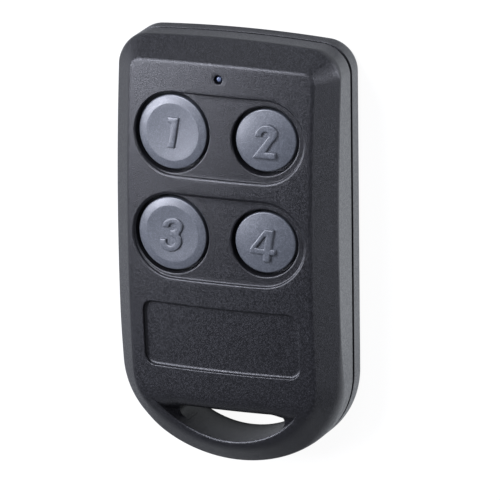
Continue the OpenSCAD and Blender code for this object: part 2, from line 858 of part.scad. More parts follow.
module cell_contact() {
    color(brass)
        translate([0, cell_y, 0]) {
            translate([-contact_pad[0] / 2, -contact_pad[1] / 2, board_z0 - contact_t])
                cube([contact_pad[0], contact_pad[1], contact_t]);
            translate([0, 0, cell_z0 + cell_t])
                cylinder(d = contact_bump_d, h = contact_room);
        }
}

module controller_chip() {
    x = controller_inset - board_w / 2;
    color(chip_black)
        on_board(x, chip_y, controller_size);
    color(steel)
        for (k = [-1.5 : 1 : 1.5])
            on_board(x + pin_pitch * k, chip_y, pin_size);
}

module transmitter_chip() {
    color(chip_black)
        on_board(board_w / 2 - transmitter_inset, chip_y, transmitter_size);
}

module crystal_can() {
    color(steel)
        on_board(board_w / 2 - crystal_inset, chip_y, crystal_size);
}

// The antenna: a strip in a loop along the lower edge of the board, open at the middle of its upper side
module antenna_loop() {
    color([0.8, 0.5, 0.3])
        translate([0, board_y0 + antenna_margin + antenna_l / 2, board_z1])
            linear_extrude(antenna_t)
                difference() {
                    square([antenna_w, antenna_l], center = true);
                    square([antenna_w - 2 * antenna_strip, antenna_l - 2 * antenna_strip], center = true);
                    translate([0, antenna_l / 2])
                        square([2 * antenna_strip, 3 * antenna_strip], center = true);
                }
}

// A column of capacitors beside the controller, as many as fit between the lower boss and the switch above it
module chip_capacitors() {
    y0 = lower_screw_y + boss_r + capacitor_gap;
    y1 = row_y[1] - switch_side / 2 - capacitor_gap;
    last = floor((y1 - y0 - capacitor_size[1]) / capacitor_pitch);
    color([0.72, 0.6, 0.45])
        for (k = [0 : last])
            on_board(
                capacitor_inset - board_w / 2,
                (y0 + y1) / 2 + (k - last / 2) * capacitor_pitch,
                capacitor_size
            );
}

// One resistor on the outer side of each switch, across the board, and one beside the lamp chip
module chip_resistors() {
    across = [resistor_size[1], resistor_size[0], resistor_size[2]];
    color(chip_black) {
        for (p = key_at)
            on_board(p[0] + sign(p[0]) * (switch_side / 2 + resistor_gap + across[0] / 2), p[1], across);
        on_board(lamp_chip_size[0] / 2 + resistor_gap + resistor_size[0] / 2, lamp_y, resistor_size);
    }
}

module case_screws() {
    color(steel)
        at_screws()
            difference() {
                union() {
                    translate([0, 0, head_seat - head_h])
                        cylinder(d = head_d, h = head_h);
                    translate([0, 0, head_seat])
                        cylinder(d = screw_d, h = screw_l);
                }
                for (a = [0, 90])
                    rotate(a)
                        translate([-cross_size[0] / 2, -cross_size[1] / 2, head_seat - head_h - over])
                            cube([cross_size[0], cross_size[1], cross_size[2] + over]);
            }
}

front_shell();
rear_shell();
button(0);  // button_1
button(1);  // button_2
button(2);  // button_3
button(3);  // button_4
light_pipe();
lamp_chip();
circuit_board();
switch_base(0);  // switch_base_1
switch_base(1);  // switch_base_2
switch_base(2);  // switch_base_3
switch_base(3);  // switch_base_4
switch_plunger(0);  // switch_plunger_1
switch_plunger(1);  // switch_plunger_2
switch_plunger(2);  // switch_plunger_3
switch_plunger(3);  // switch_plunger_4
switch_covers();
switch_domes();
coin_cell();
cell_clip();
cell_contact();
controller_chip();
transmitter_chip();
crystal_can();
antenna_loop();
chip_capacitors();
chip_resistors();
case_screws();
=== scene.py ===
"""An alarm key fob on a pale floor: its two shells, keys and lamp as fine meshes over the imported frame."""

import math

import bpy
import numpy as np
from mathutils import Matrix, Vector
from mathutils.geometry import delaunay_2d_cdt
from mathutils.kdtree import KDTree


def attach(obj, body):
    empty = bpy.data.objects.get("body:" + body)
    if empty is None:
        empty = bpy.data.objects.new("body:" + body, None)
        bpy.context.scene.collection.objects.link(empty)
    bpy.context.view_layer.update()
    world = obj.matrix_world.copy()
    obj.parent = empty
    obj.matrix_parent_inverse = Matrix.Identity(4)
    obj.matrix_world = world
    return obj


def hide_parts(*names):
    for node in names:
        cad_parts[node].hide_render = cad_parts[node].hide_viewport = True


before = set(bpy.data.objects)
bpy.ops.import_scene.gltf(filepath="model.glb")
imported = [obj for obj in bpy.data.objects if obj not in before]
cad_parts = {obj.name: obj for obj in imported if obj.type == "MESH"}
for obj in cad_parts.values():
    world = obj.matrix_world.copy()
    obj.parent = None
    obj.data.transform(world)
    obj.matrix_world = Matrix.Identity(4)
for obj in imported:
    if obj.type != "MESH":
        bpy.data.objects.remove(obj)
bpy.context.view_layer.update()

MM = 0.001
MIRROR = np.array([-1.0, 1.0])

# Sizes in millimetres. An _R is a radius, a _D a diameter, and a _Z a height above the flat back.

# The case: CASE_T is the peak of its crown, which lies in a recess
CASE_W, CASE_L, CASE_T = 37.0, 68.8, 14.4
WALL_T, FLOOR_T, BACK_ROUND = 1.5, 1.4, 1.0
LAMP_END_Y, RING_END_Y = CASE_L / 2, -CASE_L / 2
LAMP_CORNER_R, LAMP_END_R = 4.9, 220.0
RING_CORNER_R, RING_END_R = 13.9, 21.9
CROWN_L_R, CROWN_W_R, CROWN_Y = 208.0, 96.0, 3.2

# The bevel: its width, the height and curve of its lower edge, and how far both edges are rounded
BEVEL_SIDE, BEVEL_END = 3.3, 3.0
EDGE_Z, EDGE_R, EDGE_ROUND, BROW_ROUND = 9.5, 238.0, 0.25, 0.45
# Its lower edge is rounder at the lamp end's corners and along the ring end's, but not at that end itself
CORNER_ROUND, RING_ROUND, RING_ROUND_Y = 0.75, 1.5, (-10.0, -26.0)
RING_FACE, RING_FACE_EASE = 0.93, 0.3
# The bar behind the slot: from where to where its face sinks, how far, and how far its brow is rounded
BAR_Y0, BAR_Y1, BAR_DROP, BAR_BROW_IN, BAR_BROW_OUT = -22.0, -30.5, 1.9, 0.6, 1.4

# The parting groove with the chamfer of its edges, and the tongue of the rear shell behind it
JOINT_Z, JOINT_GAP, JOINT_DEPTH = 3.65, 0.7, 0.9
JOINT_CHAMFER = [(0.1, 0), (0.03, 0.03), (0, 0.1)]
TONGUE_T, TONGUE_H, TONGUE_GAP = 0.8, 1.3, 0.1
FRONT_Z0 = JOINT_Z + JOINT_GAP / 2
REAR_Z1 = JOINT_Z - JOINT_GAP / 2

# The keys and their holes
BIG_KEY_D, SMALL_KEY_D = 11.6, 9.8
COLUMN_X = 7.7
ROW_Y = (20.0, 3.8)
KEY_AT = [((-1 if k % 2 == 0 else 1) * COLUMN_X, ROW_Y[k // 2]) for k in range(4)]
KEY_GAP, COLLAR_T, FLANGE_LIP, FLANGE_T = 0.55, 0.9, 0.55, 1.0
RECESS_DEPTH, KEY_SINK = 0.45, 0.35
BIG_RIDGE_W, SMALL_RIDGE_W, RIDGE_H, DISH_DEPTH, SMALL_DOME = 1.35, 0.3, 0.25, 0.13, 0.48
KEY_SIDE_H, BIG_DISC_IN, SMALL_DISC_IN = 0.35, 0.15, 0.1
KEY_Z0, COLLAR_Z, KEY_CAP_T, KEY_WALL_T = 9.5, 10.6, 1.2, 1.2
PLUNGER_D, STEM_LIP = 3.0, 0.6
BOARD_Z0, BOARD_Z1 = 5.4, 6.4
# The edge of a keyhole, as steps out and down
KEYHOLE_EDGE = [(0.17, 0), (0.15, 0.004), (0.13, 0.013), (0.03, 0.068), (0.01, 0.09), (0, 0.13)]
# The large key's rim, as steps inwards and up, and its ridge, as steps outwards and up
BIG_RIM = [(0, -KEY_SIDE_H), (0, -0.16), (0.03, -0.08), (0.09, -0.025), (0.18, 0.0)]
BIG_RIDGE = [(0.75, 0.115), (0.3, 0.205), (0.13, 0.236), (0.05, 0.247), (-0.03, 0.243)]
# The raised numbers: steps out and up from the key's face, then steps out and down from the number's top
NUMBER_H, NUMBER_SLANT = 0.38, math.radians(8.5)
NUMBER_CORNER_R, NUMBER_CORNER_MIN, NUMBER_CORNER_TURN, CORNER_SHARE = 0.13, 0.03, 25, 0.4
NUMBER_FOOT = [(0.06, 0.0), (0.0, 0.0), (-0.005, 0.08)]
NUMBER_EDGE = [(-0.012, 0.16), (-0.03, 0.11), (-0.06, 0.07), (-0.1, 0.036), (-0.15, 0.012), (-0.2, 0.0)]

# The lamp's light pipe and its hole
LAMP_Y, PIPE_D, PIPE_GAP, PIPE_SINK = 29.05, 1.2, 0.1, 0.3
PIPE_FLANGE_D, PIPE_FLANGE_H, PIPE_FLANGE_GAP, LAMP_CHIP_H = 3.0, 0.8, 0.2, 0.6
TIP_R, TIP_DOME, TIP_NECK, TIP_SHOULDER = 0.4, 0.22, 0.5, 0.7
LAMP_HOLE_ROUND = 0.12

# The label recess, with its wall as steps out and down
LABEL_Y, LABEL_W, LABEL_H, LABEL_DEPTH, LABEL_CORNER_R = -12.8, 25.9, 10.7, 0.7, 1.7
LABEL_WALL = [(0.12, 0), (0.1, 0.006), (0.03, 0.045), (0, 0.1), (-0.02, 0.25), (-0.04, 0.42)]
LABEL_WALL += [(-0.06, 0.52), (-0.1, 0.575), (-0.3, 0.685), (-0.34, 0.697), (-0.4, LABEL_DEPTH)]

# The slot: its outline, the sleeve inside the case, the scoop that leads into it, and its edges
SLOT_R, SLOT_CY, SLOT_W, SLOT_Y1, SLOT_CORNER_R, SLOT_JOIN_X = 14.8, -15.55, 17.6, -24.85, 1.6, 7.7
SLEEVE_T = 1.4
ROLL_R, SCOOP_DEPTH = 3.2, 2.2
SCOOP_X, ROLL_Y, ROLL_END_Y, ROLL_EASE = 12.03, -22.65, -23.7, 1
# The lip of the curved side, as shares of its size out and down, and the seam between it and the scoop.
# A _RUN is the depth of the scoop from which each has its full size.
LIP_SIZE, LIP_RUN = 0.25, 0.5
LIP = [(1, 0), (0.94, 0.02), (0.86, 0.07), (0.24, 0.55), (0.1, 0.72), (0, 1)]
SEAM_W, SEAM_RUN = 0.06, 0.3
SLOT_BACK_EDGE = [(0.3, 0), (0.15, 0.04), (0.04, 0.15), (0, 0.3)]

# The screws with their bosses, posts and seats, the room these keep from the wall, and the coin cell's fence
SCREW_AT = [(side * 13.3, y) for side in (-1, 1) for y in (28.16, -18.65)]
BOSS_R, POST_R, SEAT_R, SEAT_DEPTH, SCREW_D, SCREW_GAP, BORE_Z1 = 2.5, 2.65, 2.05, 1.9, 2.0, 0.15, 9.7
SEAT_EDGE = [(0.15, 0), (0.04, 0.04), (0, 0.15)]
INSIDE_GAP = 0.03
CELL_Y, FENCE_R, FENCE_T, FENCE_H, FENCE_OPEN = -7.05, 10.4, 0.9, 1.7, 2.9

# How finely the meshes are made: distances between the points of filled areas, and points round a circle
FACE_STEP, INSIDE_STEP, FOOT_STEP, KEY_STEP, COUNTER_STEP, SMALL_STEP = 0.9, 1.5, 0.8, 0.55, 0.4, 0.5
HOLE_POINTS, KEY_POINTS, SCREW_POINTS, LAMP_POINTS = 240, 96, 48, 32
SLOT_POINTS, RAMP_POINTS, NUMBER_STEP = 60, 14, 0.3
SCOOP_STEP, ROLL_STEP, RAMP_STEP, RAMP_Y = 0.2, 0.35, 0.25, (-27, -22.5)
# Lines round each keyhole that support its edge, by distances from the hole
HOLE_LINES = (0.24, 0.32, 0.42, 0.53, 0.66)
LABEL_LINE = 0.2


# Outlines in the plane of the face, as arrays of points that run counter-clockwise


def arc(centre, r, start, stop, count, last=True):
    """Points on an arc, by angles in degrees."""
    a = np.radians(np.linspace(start, stop, count + 1))
    points = np.stack([centre[0] + r * np.cos(a), centre[1] + r * np.sin(a)], 1)
    return points if last else points[:-1]


def line(a, b, count):
    """Points from a up to, and without, b."""
    t = np.linspace(0, 1, count + 1)[:-1, None]
    return np.array(a) * (1 - t) + np.array(b) * t


def curve(a, c, b, t):
    """A place on the bend from a to b about the corner c."""
    return (1 - t) ** 2 * a + 2 * t * (1 - t) * c + t * t * b


def case_outline():
    """The outline of the case and its outward directions, from the middle of the ring end."""
    ring_cy = RING_END_Y + RING_END_R
    corner_x = CASE_W / 2 - RING_CORNER_R
    corner_y = ring_cy - math.sqrt((RING_END_R - RING_CORNER_R) ** 2 - corner_x**2)
    ring_turn = math.degrees(math.atan2(ring_cy - corner_y, corner_x))
    lamp_cy = LAMP_END_Y - LAMP_END_R
    lamp_x = CASE_W / 2 - LAMP_CORNER_R
    lamp_y = lamp_cy + math.sqrt((LAMP_END_R - LAMP_CORNER_R) ** 2 - lamp_x**2)
    lamp_turn = math.degrees(math.atan2(lamp_y - lamp_cy, lamp_x))

    def bend(centre, r, start, stop, count):
        points = arc(centre, r, start, stop, count, last=False)
        return points, (points - centre) / r

    side = line((CASE_W / 2, corner_y), (CASE_W / 2, lamp_y), 56)
    runs = [
        bend((0, ring_cy), RING_END_R, -90, -ring_turn, 16),
        bend((corner_x, corner_y), RING_CORNER_R, -ring_turn, 0, 28),
        (side, np.tile((1.0, 0.0), (len(side), 1))),
        bend((lamp_x, lamp_y), LAMP_CORNER_R, 0, lamp_turn, 18),
        bend((0, lamp_cy), LAMP_END_R, lamp_turn, 90, 20),
        (np.array([[0.0, LAMP_END_Y]]), np.array([[0.0, 1.0]])),
    ]
    halves = [np.concatenate(half) for half in zip(*runs)]
    return [np.concatenate([half, half[-2:0:-1] * MIRROR]) for half in halves]


OUTLINE, OUTWARD = case_outline()


def inset(side, end=None):
    """The case outline moved inwards."""
    return OUTLINE - OUTWARD * np.array([side, side if end is None else end])


def circle(centre, r, count):
    """Points round a circle."""
    return arc(centre, r, 0, 360, count, last=False)


def stadium(x, y, r):
    """The outline of a row's recess, with its round ends about two points."""
    right = arc((x, y), r, -90, 90, 72)
    left = arc((-x, y), r, 90, 270, 72)
    top, bottom = line((x, y + r), (-x, y + r), 48), line((-x, y - r), (x, y - r), 48)
    return np.concatenate([right[:-1], top, left[:-1], bottom])


def round_rect(centre, w, h, r, out):
    """A rectangle with round corners, moved outwards."""
    x, y = w / 2 - r, h / 2 - r
    r += out
    runs = [((x, -y), -90), ((x, y), 0), ((-x, y), 90), ((-x, -y), 180)]
    points = []
    for k, (c, start) in enumerate(runs):
        bend = arc(c, r, start, start + 90, 12)
        following, turn = runs[(k + 1) % 4]
        points += [bend[:-1], line(bend[-1], arc(following, r, turn, turn + 90, 1)[0], 30 if k % 2 else 14)]
    return np.concatenate(points) + np.array(centre)


def inside(points, loop):
    """Which points lie inside a closed loop."""
    x, y = points[:, 0:1], points[:, 1:2]
    a, b = loop, np.roll(loop, -1, 0)
    crosses = (a[:, 1] > y) != (b[:, 1] > y)
    rise = np.where(b[:, 1] == a[:, 1], 1e-12, b[:, 1] - a[:, 1])
    hits = crosses & (x < (b[:, 0] - a[:, 0]) * (y - a[:, 1]) / rise + a[:, 0])
    return hits.sum(1) % 2 == 1


def keep_inside(points, loop):
    """Points outside a loop move onto it."""
    out = ~inside(points, loop)
    near = np.argmin(((points[:, None] - loop[None]) ** 2).sum(2), 1)
    moved = points.copy()
    moved[out] = loop[near[out]]
    return moved


# Heights of the case's surfaces


def crown_z(p):
    """Height of the crowned face."""
    x, y = p[:, 0], p[:, 1]
    reach = CROWN_L_R - CROWN_W_R + np.sqrt(CROWN_W_R**2 - x**2)
    return CASE_T - CROWN_L_R + np.sqrt(reach**2 - (y - CROWN_Y) ** 2)


def base_z(p):
    """Height of the face, which sinks towards the bar behind the slot."""
    return crown_z(p) - BAR_DROP * smooth((BAR_Y0 - p[:, 1]) / (BAR_Y0 - BAR_Y1))


def edge_z(p):
    """Height of the bevel's lower edge."""
    return EDGE_Z - EDGE_R + np.sqrt(EDGE_R**2 - (p[:, 1] - CROWN_Y) ** 2)


def smooth(t):
    """A step from 0 to 1 with soft ends."""
    t = np.clip(t, 0, 1)
    return t * t * (3 - 2 * t)


def scoop_drop(p):
    """Depth of the scoop that leads into the slot: a roll along its upper side and a ramp at each end."""
    x, y = np.abs(p[:, 0]), p[:, 1]
    to_end = (x - SLOT_W / 2 + ROLL_EASE) / (SCOOP_X - SLOT_W / 2 + ROLL_EASE)
    start = ROLL_Y + (ROLL_END_Y - ROLL_Y) * smooth(to_end)
    s = np.clip(start - y, 0, ROLL_R)
    roll = ROLL_R - np.sqrt(ROLL_R**2 - s**2)
    slope = SCOOP_DEPTH * np.clip((SCOOP_X - x) / (SCOOP_X - SLOT_W / 2), 0, 1)
    return np.minimum(roll, slope)


# Each row's recess: the outlines of its rim and floor by end points and radius, and the wall between them
RECESSES = [
    {
        "rim": (7.45, 19.83, 6.82),
        "floor": (7.5, 19.9, 6.4),
        "wall": (
            (0, 0.05, 0.1, 0.3, 0.52, 0.58, 0.64, 0.72, 0.8, 0.86, 0.93, 1),
            (0, 0.008, 0.03, 0.15, 0.28, 0.34, 0.45, 0.68, 0.88, 0.955, 0.99, 1),
        ),
    },
    {
        "rim": (7.4, 3.62, 7.11),
        "floor": (7.4, 3.58, 6.63),
        "wall": (
            (0, 0.04, 0.08, 0.34, 0.4, 0.46, 0.54, 0.6, 0.66, 0.93, 0.97, 1),
            (0, 0.006, 0.025, 0.165, 0.23, 0.36, 0.58, 0.74, 0.83, 0.975, 0.994, 1),
        ),
    },
]


def depth_in(p, x, y, r):
    """How far points lie inside a recess's outline."""
    return r - np.hypot(np.maximum(np.abs(p[:, 0]) - x, 0), p[:, 1] - y)


def recess_drop(p):
    """Depth of the two recesses."""
    drop = np.zeros(len(p))
    for recess in RECESSES:
        a, b = depth_in(p, *recess["rim"]), depth_in(p, *recess["floor"])
        drop = np.maximum(drop, RECESS_DEPTH * np.interp(a / np.maximum(a - b, 1e-6), *recess["wall"]))
    return drop


def recess_lines():
    """Lines along the walls of the recesses."""
    lines = []
    for recess in RECESSES:
        rim, floor = np.array(recess["rim"]), np.array(recess["floor"])
        lines += [stadium(*(rim * (1 - t) + floor * t)) for t in recess["wall"][0]]
    return lines


def face_z(p):
    """Height of the face with its recesses, and with the scoop inside the slot's circle."""
    in_disc = np.hypot(p[:, 0], p[:, 1] - SLOT_CY) < SLOT_R
    return base_z(p) - recess_drop(p) - np.where(in_disc, scoop_drop(p), 0)


def under_z(p):
    """Height of the inside of the front shell."""
    away = np.sqrt(((p[:, None] - OUTLINE[None]) ** 2).sum(2)).min(1)
    slope = math.atan2(CASE_T - EDGE_Z, BEVEL_SIDE)
    low = WALL_T * (1 / math.cos(slope) - math.tan(slope))
    return np.minimum(base_z(p) - WALL_T, edge_z(p) - low + (away - WALL_T) * math.tan(slope))


# Closed meshes made of rings, strips between them and filled areas


# Room that lines keep from a border, and that grid points keep as a share of the step and at most
LINE_ROOM, GRID_ROOM, GRID_ROOM_MAX = 0.06, 0.45, 0.3
# The distance within which points merge, and the angle from which an edge is shaded as sharp
MERGE, SHARP_TURN = 1e-7, math.radians(40)


class Skin:
    """The points and faces of one mesh, in millimetres."""

    def __init__(self):
        self.points, self.faces = [], []

    def ring(self, xy, z):
        """Adds a loop of points, at one height or at a height each."""
        start = len(self.points)
        heights = np.broadcast_to(z, len(xy))
        self.points += [(float(p[0]), float(p[1]), float(h)) for p, h in zip(xy, heights)]
        return list(range(start, start + len(xy)))

    def strip(self, a, b, closed=True):
        """Faces between two runs of points, which may share some."""
        for i in range(len(a) if closed else len(a) - 1):
            k = (i + 1) % len(a)
            face = list(dict.fromkeys([a[i], a[k], b[k], b[i]]))
            if len(face) > 2:
                self.faces.append(face)

    def strips(self, rings, closed=True):
        """Faces between each ring and the next."""
        for a, b in zip(rings, rings[1:]):
            self.strip(a, b, closed)

    def xy(self, ring):
        """The places of a ring's points in the plane of the face."""
        return np.array([self.points[i][:2] for i in ring])

    def fill(self, rings, height, step, down=False, more=None, lines=()):
        """Triangles inside the first ring and outside the others, with points on a grid and along lines."""
        loops = [self.xy(r) for r in rings]

        def within(p):
            keep = inside(p, loops[0])
            for loop in loops[1:]:
                keep &= ~inside(p, loop)
            return keep

        # The grid starts a little inside, so that none of its points lies on a straight border
        (x0, y0), (x1, y1) = loops[0].min(0), loops[0].max(0)
        rows = np.arange(y0 + step / 3, y1, step * math.sqrt(3) / 2)
        columns = np.arange(x0 + step / 4, x1, step)
        grid = np.array([(x + (k % 2) * step / 2, y) for k, y in enumerate(rows) for x in columns])
        if more is not None:
            grid = np.concatenate([more, grid])

        # The borders and the lines are edges that the triangles have to keep
        border = np.concatenate(loops)
        flat, edges, start = list(border), [], 0
        for r in rings:
            edges += [(start + i, start + (i + 1) % len(r)) for i in range(len(r))]
            start += len(r)
        for run in lines:
            clear = within(run) & (((run[:, None] - border[None]) ** 2).sum(2).min(1) > LINE_ROOM**2)
            place = np.where(clear, len(flat) + np.cumsum(clear) - 1, -1)
            flat += list(run[clear])
            after = np.roll(place, -1)
            edges += [(int(i), int(k)) for i, k in zip(place, after) if i >= 0 and k >= 0]
        grid = self.thin_out(grid[within(grid)], np.array(flat), step)
        new = np.array(flat[len(border) :] + list(grid)).reshape(-1, 2)
        index = [i for r in rings for i in r] + (self.ring(new, height(new)) if len(new) else [])
        places = [Vector(self.points[i][:2]) for i in index]
        corners, _, triangles, origins, _, _ = delaunay_2d_cdt(places, edges, [], 0, MERGE)

        # Where lines cross, the triangulation adds points of its own
        back = []
        for at, origin in zip(corners, origins):
            crossing = np.array([at[:2]])
            back.append(index[origin[0]] if origin else self.ring(crossing, height(crossing))[0])

        # Each border is directed, with the filled area on its left
        spot = {i: k for k, origin in enumerate(origins) for i in origin}
        borders, start = set(), 0
        for k, loop in enumerate(loops):
            after = np.roll(loop, -1, 0)
            left = (loop[:, 0] * after[:, 1] - after[:, 0] * loop[:, 1]).sum() > 0
            run = [spot[start + i] for i in range(len(loop))]
            run = run if left == (k == 0) else run[::-1]
            borders |= set(zip(run, run[1:] + run[:1]))
            start += len(loop)
        for f in faces_within([list(f) for f in triangles], borders):
            face = [back[i] for i in f]
            self.faces.append(face[::-1] if down else face)

    @staticmethod
    def thin_out(grid, fixed, step):
        """Leaves out the grid points that crowd a fixed point or one another."""
        tree = KDTree(len(fixed) + len(grid))
        for i, p in enumerate(np.concatenate([fixed, grid])):
            tree.insert((p[0], p[1], 0), i)
        tree.balance()
        room = min(step * GRID_ROOM, GRID_ROOM_MAX)
        kept, dropped = [], set()
        for k, p in enumerate(grid):
            i = k + len(fixed)
            near = [n for _, n, d in tree.find_range((p[0], p[1], 0), room) if n < i and n not in dropped]
            if near:
                dropped.add(i)
            else:
                kept.append(k)
        return grid[kept]

    def object(self, name, material):
        """The mesh as an object in metres with smooth shading."""
        mesh = bpy.data.meshes.new(name)
        mesh.from_pydata([[c * MM for c in p] for p in self.points], [], self.faces)
        mesh.validate()
        mesh.shade_smooth()
        mesh.set_sharp_from_angle(angle=SHARP_TURN)
        mesh.materials.append(material)
        obj = bpy.data.objects.new(name, mesh)
        bpy.context.scene.collection.objects.link(obj)
        weights = obj.modifiers.new("face normals", "WEIGHTED_NORMAL")
        weights.keep_sharp = True
        return obj


def faces_within(faces, borders):
    """The faces on the left of the border's directed edges, found from face to face."""
    ways = [list(zip(f, f[1:] + f[:1])) for f in faces]
    beside = {way: k for k, face in enumerate(ways) for way in face}
    found = {k for k, face in enumerate(ways) if any(way in borders for way in face)}
    queue = sorted(found)
    while queue:
        for a, b in ways[queue.pop()]:
            k = beside.get((b, a))
            if k is not None and k not in found and (a, b) not in borders:
                found.add(k)
                queue.append(k)
    return [faces[k] for k in sorted(found)]


def level_at(z):
    """A height that is the same all over a filled area."""
    return lambda p: np.full(len(p), z)


def round_over(r, count):
    """Steps of a rounded edge: how far out each one is, and how far down."""
    a = np.radians(np.linspace(0, 90, count + 1))
    return [(r * (1 - math.sin(t)), r * (1 - math.cos(t))) for t in a]


# The front shell


def slot_brow(start, out):
    """The slot's outline from one end of its curved side round to the other, without these two."""
    x, top, r = SLOT_W / 2 + out, SLOT_Y1 + out, SLOT_CORNER_R + out
    start = np.array(start)
    way = np.array([SLOT_CY - start[1], start[0]])
    corner = start + way * (x - start[0]) / way[0]
    stop = np.array([x, top - r])
    t = np.linspace(0, 1, 9)[1:-1, None]
    side = np.concatenate([curve(start, corner, stop, t), arc((x - r, top - r), r, 0, 90, 8, last=False)])
    return np.concatenate([side, line((x - r, top), (r - x, top), 40), [(r - x, top)], side[::-1] * MIRROR])


def slot_rings(skin):
    """The slot in the face: rings for the outside of its lower edge, the scoop's edge, and the hole."""
    end = math.degrees(math.atan2(ROLL_END_Y - SLOT_CY, SCOOP_X))
    wall = -math.degrees(math.acos(SLOT_JOIN_X / SLOT_R))
    left = np.linspace(-180 - end, -180 - wall, RAMP_POINTS + 1)
    middle = np.linspace(-180 - wall, wall, SLOT_POINTS + 1)
    right = np.linspace(wall, end, RAMP_POINTS + 1)
    angles = np.concatenate([left[:-1], middle[:-1], right])
    way = np.stack([np.cos(np.radians(angles)), np.sin(np.radians(angles))], 1)
    on_arc = np.array([0, SLOT_CY]) + way * SLOT_R

    # The lip grows with the scoop's depth just inside the curved side
    step = np.where(np.abs(on_arc[:, 0]) < SLOT_W / 2, SCOOP_DEPTH, scoop_drop(on_arc + way * -1e-3))
    size = LIP_SIZE * smooth(step / LIP_RUN)
    size[[0, -1]] = 0
    rims = []
    for out, down in LIP:
        p = on_arc + way * (size * out)[:, None]
        rims.append(skin.ring(p, base_z(p) - size * down))
    for ring in rims[1:]:
        ring[0], ring[-1] = rims[0][0], rims[0][-1]
    skin.strips(rims, closed=False)

    # A narrow seam leads from the lip to the ramps, and the hole lies between the ramps
    edge = rims[-1]
    gap = SEAM_W * smooth(step / SEAM_RUN)
    inner = on_arc - way * gap[:, None]
    n = RAMP_POINTS
    left = skin.ring(inner[1 : n + 1], face_z(inner[1 : n + 1]))
    right = skin.ring(inner[-n - 1 : -1], face_z(inner[-n - 1 : -1]))
    skin.strip(edge[: n + 1], [edge[0], *left], closed=False)
    skin.strip(edge[-n - 1 :], [*right, edge[-1]], closed=False)
    brow = slot_brow(inner[-n - 1], 0)
    brow_ring = skin.ring(brow, base_z(brow) - scoop_drop(brow))
    hole = edge[n : len(edge) - n] + [right[0], *brow_ring, left[-1]]
    around = rims[0] + right[::-1] + brow_ring + left[::-1]
    return around, hole


def keyhole(k, out):
    """The outline of a keyhole, moved outwards."""
    d = SMALL_KEY_D if k % 2 else BIG_KEY_D
    return circle(KEY_AT[k], d / 2 + KEY_GAP + out, HOLE_POINTS)


def label_outline(out):
    """The outline of the label recess, moved outwards."""
    return round_rect((0, LABEL_Y), LABEL_W, LABEL_H, LABEL_CORNER_R, out)


def round_edge(skin, a, c, b):
    """Rings that turn from points a to points b about the corners c."""
    rings = []
    for t in np.linspace(0, 1, 7):
        p = curve(a, c, b, t)
        rings.append(skin.ring(p[:, :2], p[:, 2]))
    return rings


def front_wall(skin):
    """The outside wall and the bevel with its two rounded edges, as rings from the parting line up."""
    wall = [skin.ring(inset(d), FRONT_Z0 + rise) for d, rise in JOINT_CHAMFER]
    lower = np.column_stack([OUTLINE, edge_z(OUTLINE)])
    brow = inset(BEVEL_SIDE, BEVEL_END)
    upper = np.column_stack([brow, base_z(brow)])
    at_bar = smooth((BAR_Y0 - OUTLINE[:, 1:]) / (BAR_Y0 - BAR_Y1))
    face_edge = brow - OUTWARD * (BROW_ROUND + (BAR_BROW_IN - BROW_ROUND) * at_bar)
    face_edge = np.column_stack([face_edge, base_z(face_edge)])
    slant = (upper - lower) / np.linalg.norm(upper - lower, axis=1)[:, None]
    brow_low = upper - slant * (BROW_ROUND + (BAR_BROW_OUT - BROW_ROUND) * at_bar)
    at_corner = smooth(2 * np.abs(OUTWARD[:, :1] * OUTWARD[:, 1:])) * (OUTWARD[:, 1:] > 0)
    at_ring = smooth((RING_ROUND_Y[0] - OUTLINE[:, 1:]) / (RING_ROUND_Y[0] - RING_ROUND_Y[1]))
    at_ring = at_ring * smooth((OUTWARD[:, 1:] + RING_FACE) / RING_FACE_EASE)
    edge_round = EDGE_ROUND + (CORNER_ROUND - EDGE_ROUND) * at_corner + (RING_ROUND - EDGE_ROUND) * at_ring
    edge_top = lower + slant * edge_round
    wall += round_edge(skin, lower - np.array([0, 0, 1]) * edge_round, lower, edge_top)
    for t in (0.33, 0.67):
        p = edge_top * (1 - t) + brow_low * t
        wall.append(skin.ring(p[:, :2], p[:, 2]))
    wall += round_edge(skin, brow_low, upper, face_edge)
    skin.strips(wall)
    return wall


def face_cut(skin, outline, steps):
    """Rings of a cut in the face, each moved out and down: the first one and the last one."""
    rings = []
    for out, down in steps:
        p = outline(out)
        rings.append(skin.ring(p, face_z(p) - down))
    skin.strips(rings)
    return rings[0], rings[-1]


def scoop_points():
    """Close points for the roll and the two ramps of the scoop."""
    rows = np.arange(SLOT_Y1 + 0.08, ROLL_Y + 0.4, SCOOP_STEP)
    roll = [(x, y) for y in rows for x in np.arange(-SCOOP_X, SCOOP_X, ROLL_STEP)]
    columns, rows = np.arange(SLOT_W / 2 + 0.1, SCOOP_X, RAMP_STEP), np.arange(*RAMP_Y, SCOOP_STEP)
    ramps = [(side * x, y) for side in (-1, 1) for x in columns for y in rows]
    return np.array(roll + ramps)


def front_face(skin, edge):
    """The face inside its edge, with its cuts: the keyholes, the label recess, the lamp hole and the slot."""
    rims, bores, lines = [], [], recess_lines() + [label_outline(LABEL_LINE)]
    for k in range(4):
        rim, bore = face_cut(skin, lambda out: keyhole(k, out), KEYHOLE_EDGE)
        rims.append(rim)
        bores.append(bore)
        lines += [keyhole(k, out) for out in HOLE_LINES]
    label_rim, label_floor = face_cut(skin, label_outline, LABEL_WALL)
    skin.fill([label_floor], lambda p: crown_z(p) - LABEL_DEPTH, FACE_STEP)
    lamp_rim, lamp_bore = face_cut(
        skin,
        lambda out: circle((0, LAMP_Y), PIPE_D / 2 + PIPE_GAP + out, LAMP_POINTS),
        round_over(LAMP_HOLE_ROUND, 4),
    )
    around, slot = slot_rings(skin)
    borders = [edge, *rims, label_rim, lamp_rim, around]
    skin.fill(borders, face_z, FACE_STEP, more=scoop_points(), lines=lines)
    return bores, lamp_bore, slot


